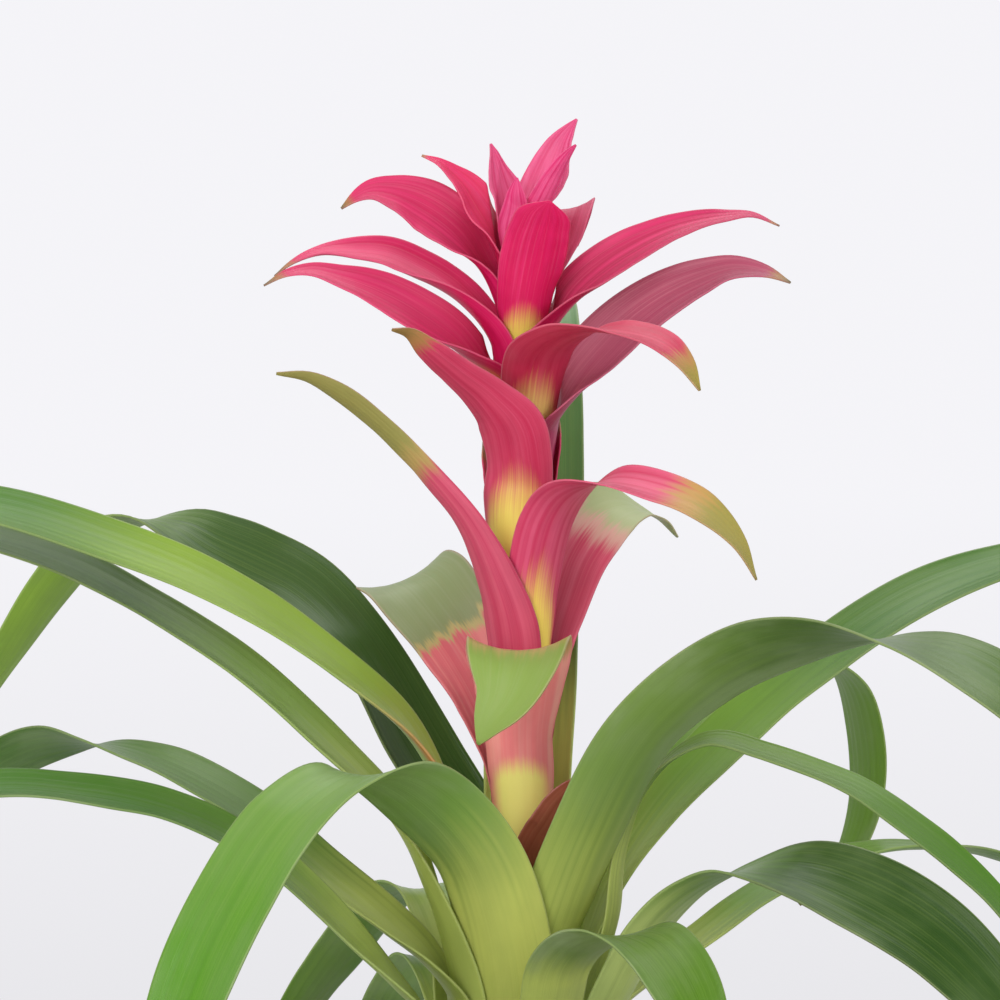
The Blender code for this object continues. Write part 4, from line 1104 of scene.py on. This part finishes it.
@dataclass
class Pot:
    """Tapered pot with a stepped rim and drain holes."""
    height: float = 0.118
    rim_radius: float = 0.065
    foot_radius: float = 0.046
    wall: float = 0.0022
    floor: float = 0.003
    rim_depth: float = 0.014
    rim_step: float = 0.0026
    drain_holes: int = 4
    drain_radius: float = 0.005
    drain_ring: float = 0.028
    finish: PotFinish = field(default_factory=PotFinish)

    def inner_radius(self, height: float) -> float:
        """Inside radius of the wall at a height."""
        foot = self.foot_radius - self.wall
        rim = self.rim_radius - self.rim_step - self.wall
        return foot + (rim - foot) * (height - self.floor) / (self.height - self.floor)

    def build(self) -> bpy.types.Object:
        """Turn the pot, bore its holes and dress it."""
        step_height = self.height - self.rim_depth
        step_radius = self.inner_radius(step_height) + self.wall
        pot = turned("pot_shell", rounded([
            (0.0, self.floor, 0.0),
            (self.inner_radius(self.floor), self.floor, 0.0022),
            (self.inner_radius(self.height), self.height, 0.0009),
            (self.rim_radius, self.height, 0.0016),
            (self.rim_radius, step_height, 0.0010),
            (step_radius, step_height, 0.0008),
            (self.foot_radius, 0.0, 0.0012),
            (0.0, 0.0, 0.0)]), 160)
        cutters = [self._cutter(index) for index in range(self.drain_holes)]
        for cutter in cutters:
            bore = pot.modifiers.new("bore", "BOOLEAN")
            bore.operation = "DIFFERENCE"
            bore.solver = "EXACT"
            bore.object = cutter
        graph = bpy.context.evaluated_depsgraph_get()
        bored = bpy.data.meshes.new_from_object(pot.evaluated_get(graph))
        pot.modifiers.clear()
        pot.data = bored
        for cutter in cutters:
            bpy.data.objects.remove(cutter, do_unlink=True)
        pot.data.set_sharp_from_angle(angle=math.radians(40.0))
        pot.data.shade_smooth()
        pot.data.materials.clear()
        pot.data.materials.append(self.finish.paint())
        settle(pot, "pot")
        return pot

    def _cutter(self, index: int) -> bpy.types.Object:
        """Cylinder that bores one drain hole."""
        angle = math.tau * (index + 0.5) / self.drain_holes
        mesh = bpy.data.meshes.new("bore")
        build = bmesh.new()
        bmesh.ops.create_cone(build, cap_ends=True, segments=40, radius1=self.drain_radius,
                              radius2=self.drain_radius, depth=4.0 * self.floor)
        place = Vector((self.drain_ring * math.cos(angle), self.drain_ring * math.sin(angle), self.floor / 2.0))
        bmesh.ops.translate(build, verts=build.verts, vec=place)
        build.to_mesh(mesh)
        build.free()
        cutter = bpy.data.objects.new("bore", mesh)
        bpy.context.scene.collection.objects.link(cutter)
        return cutter


@dataclass(frozen=True)
class Strewn:
    """One kind of grain on the mix: how many to the square metre, its length and flatness, its finish."""
    name: str
    density: float
    length: float
    flatness: float
    seed: int
    finish: GrainFinish


STREWN: tuple[Strewn, ...] = (
    Strewn("soil_crumbs", 90000.0, 0.0026, 0.7, 11,
           GrainFinish("crumbs", (0.040, 0.024, 0.015), (0.11, 0.065, 0.038), 2600.0)),
    Strewn("bark_chips", 11000.0, 0.0072, 0.32, 23,
           GrainFinish("bark", (0.10, 0.048, 0.024), (0.26, 0.14, 0.075), 1400.0)),
    Strewn("perlite_grains", 8000.0, 0.0034, 0.8, 37,
           GrainFinish("perlite", (0.62, 0.60, 0.56), (0.86, 0.85, 0.82), 3000.0)),
)


@dataclass
class PottingMix:
    """Damp peat mix with bark chips and perlite, level with the pot's step."""
    edge_height: float = 0.103
    crown_height: float = 0.1055
    gap: float = 0.0003
    lump: float = 0.0011
    clear_radius: float = 0.012
    rings: int = 26
    peat: GrainFinish = GrainFinish("damp_peat", (0.030, 0.018, 0.011), (0.085, 0.050, 0.030), 900.0)
    strewn: tuple[Strewn, ...] = STREWN

    def build(self, pot: Pot) -> list[bpy.types.Object]:
        """Make the bed and what lies on it.

        Args:
            pot: the pot it fills.

        Returns:
            The pieces.
        """
        bed = self._bed(pot)
        pieces = [bed]
        for kind in self.strewn:
            base = bpy.data.objects.new("bed_copy", bed.data.copy())
            grains = Scatter().grow(kind.name, base, {
                "Density": kind.density, "Length": kind.length, "Flatness": kind.flatness,
                "Clear radius": self.clear_radius, "Seed": kind.seed, "Finish": kind.finish.paint()})
            settle(grains, None)
            pieces.append(grains)
        return pieces

    def _bed(self, pot: Pot) -> bpy.types.Object:
        """Lumpy bed that fills the pot."""
        edge = pot.inner_radius(self.edge_height) - self.gap
        bottom = pot.floor + self.gap
        profile = [(0.0, self.crown_height)]
        for ring in range(1, self.rings + 1):
            share = ring / self.rings
            drop = (self.crown_height - self.edge_height) * share ** 2
            profile.append(((edge - 0.0006) * share, self.crown_height - drop))
        profile += [(edge, self.edge_height - 0.0015),
                    (pot.inner_radius(bottom + 0.003) - 0.001, bottom + 0.0015),
                    (pot.inner_radius(bottom) - 0.003, bottom), (0.0, bottom)]
        bed = turned("potting_bed", profile, 150)
        for vert in bed.data.vertices:
            radius = math.hypot(vert.co.x, vert.co.y)
            if vert.co.z > self.edge_height - 0.001:
                rough = noise.noise(vert.co * 260.0) + 0.6 * noise.noise(vert.co * 720.0)
                fade = min((edge - radius) / 0.004, 1.0) * 0.8 + 0.2
                vert.co.z += self.lump * rough * fade - 0.0004
        bed.data.materials.append(self.peat.paint())
        bed.data.shade_smooth()
        settle(bed, "potting_mix")
        return bed


@dataclass
class Rosette:
    """All green leaves."""
    leaves: tuple[Blade, ...] = LEAVES
    foot: float = 0.1065
    first_radius: float = 0.0072
    layer_pitch: float = 0.00105
    flare: float = 6.5
    clasp_depth: float = 0.060
    maker: BladeMaker = BladeMaker(thickness=0.0007, sheath_half=0.0135, sheath_wrap=115.0, channel=52.0,
                                   tip_channel=26.0, columns=36, rows=120, ribs=7.0, rib_height=0.00004,
                                   ripple=0.0016)

    def build(self) -> list[bpy.types.Object]:
        """Make every leaf."""
        pieces = []
        for leaf in self.leaves:
            radius = self.first_radius + self.layer_pitch * leaf.level
            clasp = Clasp(self.foot, radius, radius * self.flare, self.clasp_depth)
            pieces.append(self.maker.make(leaf, clasp, "leaf"))
        return pieces


@dataclass
class FlowerSpike:
    """The flower stem and the bracts that clasp it."""
    bracts: tuple[Blade, ...] = BRACTS
    stem_foot: float = 0.060
    stem_top: float = 0.388
    foot_radius: float = 0.0052
    top_radius: float = 0.0030
    stem_gap: float = 0.0008
    flare: float = 0.15
    clasp_depth: float = 0.050
    maker: BladeMaker = BladeMaker(thickness=0.0005, sheath_half=None, sheath_wrap=150.0, channel=88.0,
                                   tip_channel=34.0, columns=36, rows=80, ribs=6.0, rib_height=0.00003,
                                   ripple=0.0012)

    def stem_radius(self, height: float) -> float:
        """Radius of the stem at a height."""
        share = min(max((height - self.stem_foot) / (self.stem_top - self.stem_foot), 0.0), 1.0)
        return self.foot_radius + (self.top_radius - self.foot_radius) * share

    def build(self) -> list[bpy.types.Object]:
        """Make the stem and every bract."""
        pieces = [self._stem()]
        for bract in self.bracts:
            foot = bract.level * MM
            clasp = Clasp(foot, self.stem_radius(foot) + self.stem_gap, self.flare, self.clasp_depth)
            pieces.append(self.maker.make(bract, clasp, "bract"))
        return pieces

    def _stem(self) -> bpy.types.Object:
        """Stem with a slight swelling where each bract grows."""
        feet = [bract.level * MM for bract in self.bracts]
        profile = [(0.0, self.stem_foot)]
        steps = 220
        for step in range(steps + 1):
            height = self.stem_foot + (self.stem_top - self.stem_foot - 0.0006) * step / steps
            swell = max(math.exp(-((height - foot) / 0.0022) ** 2) for foot in feet)
            profile.append((self.stem_radius(height) - 0.0001 + 0.00045 * swell, height))
        profile.append((self.stem_radius(self.stem_top) - 0.0007, self.stem_top))
        profile.append((0.0, self.stem_top))
        stem = turned("flower_stalk", profile, 40)
        stem.data.materials.append(StemFinish().paint())
        stem.data.shade_smooth()
        settle(stem, "flower_stem")
        return stem


@dataclass(frozen=True)
class Panel:
    """Square soft light: where it hangs and its side in metres, its power in watts."""
    name: str
    place: tuple[float, float, float]
    size: float
    power: float

    def hang(self, target: Vector) -> None:
        """Hang the light and aim it at a point."""
        light = bpy.data.lights.new(self.name, "AREA")
        light.size = self.size
        light.energy = self.power
        panel = bpy.data.objects.new(self.name, light)
        panel.location = self.place
        panel.rotation_euler = (target - Vector(self.place)).to_track_quat("-Z", "Y").to_euler()
        bpy.context.scene.collection.objects.link(panel)


@dataclass
class Studio:
    """Pale floor, soft light and the camera."""
    distance: float = 1.3
    eye_height: float = 0.306
    eye_side: float = -0.0066
    view_width: float = 0.300
    sensor: float = 36.0
    sky_front: float = 0.80
    sky_back: float = 0.92
    dim_depth: float = 0.15
    dimming: float = 0.9
    floor_radius: float = 1.25
    floor_steps: int = 96
    light_height: float = 0.26
    panels: tuple[Panel, ...] = (
        Panel("window_left", (-0.8, -1.5, 0.75), 1.2, 20.0), Panel("fill_right", (1.0, -1.4, 0.40), 1.2, 9.0),
        Panel("top_back", (0.1, 0.5, 1.5), 1.0, 9.0))

    def build(self) -> None:
        """Make floor, lights, world and camera."""
        self._floor()
        self._world()
        for panel in self.panels:
            panel.hang(Vector((0.0, 0.0, self.light_height)))
        self._camera()

    def _floor(self) -> None:
        """Round pale floor."""
        ring = [2.0 * math.pi * step / self.floor_steps for step in range(self.floor_steps)]
        mesh = bpy.data.meshes.new("floor")
        verts = [(self.floor_radius * math.cos(turn), self.floor_radius * math.sin(turn), 0.0) for turn in ring]
        mesh.from_pydata(verts, [], [tuple(range(self.floor_steps))])
        floor = bpy.data.objects.new("floor", mesh)
        bpy.context.scene.collection.objects.link(floor)
        paint = Paint("floor_paper")
        grain = paint.noise(paint.place(), 400.0, 2.0)
        colour = paint.mix(grain, (0.60, 0.60, 0.615), (0.62, 0.62, 0.63))
        mesh.materials.append(paint.finish(colour, 0.9, grain, 0.0001, {"Specular IOR Level": 0.1}))

    def _world(self) -> None:
        """Pale light from all round, brighter from behind the plant and dimmer from below."""
        world = bpy.data.worlds.new("soft_sky")
        world.use_nodes = True
        tree = TreeWriter(world.node_tree)
        _, depth, height = Arrow(tree, tree.add("ShaderNodeTexCoord").outputs["Generated"]).parts()
        sky = self.sky_front + (self.sky_back - self.sky_front) * depth.step(-0.7, 0.7)
        sky = sky - (0.0 - height).at_least(0.0).at_most(self.dim_depth) * self.dimming
        background = world.node_tree.nodes["Background"]
        background.inputs["Color"].default_value = (0.99, 0.985, 1.02, 1.0)
        world.node_tree.links.new(sky.socket, background.inputs["Strength"])
        bpy.context.scene.world = world
        bpy.context.scene.view_settings.view_transform = "Standard"

    def _camera(self) -> None:
        """Level camera a long way off, looking along +Y."""
        data = bpy.data.cameras.new("camera")
        data.sensor_width = self.sensor
        data.lens = self.sensor * self.distance / self.view_width
        data.clip_end = 20.0
        camera = bpy.data.objects.new("camera", data)
        camera.location = (self.eye_side, -self.distance, self.eye_height)
        camera.rotation_euler = (math.radians(90.0), 0.0, 0.0)
        bpy.context.scene.collection.objects.link(camera)
        bpy.context.scene.camera = camera


def main() -> None:
    """Build the plant in order, from the pot up, then the studio."""
    logging.basicConfig(level=logging.INFO, format="%(message)s")
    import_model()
    pot = Pot()
    pot.build()
    PottingMix().build(pot)
    Rosette().build()
    FlowerSpike().build()
    Studio().build()


if __name__ == "__main__":
    main()
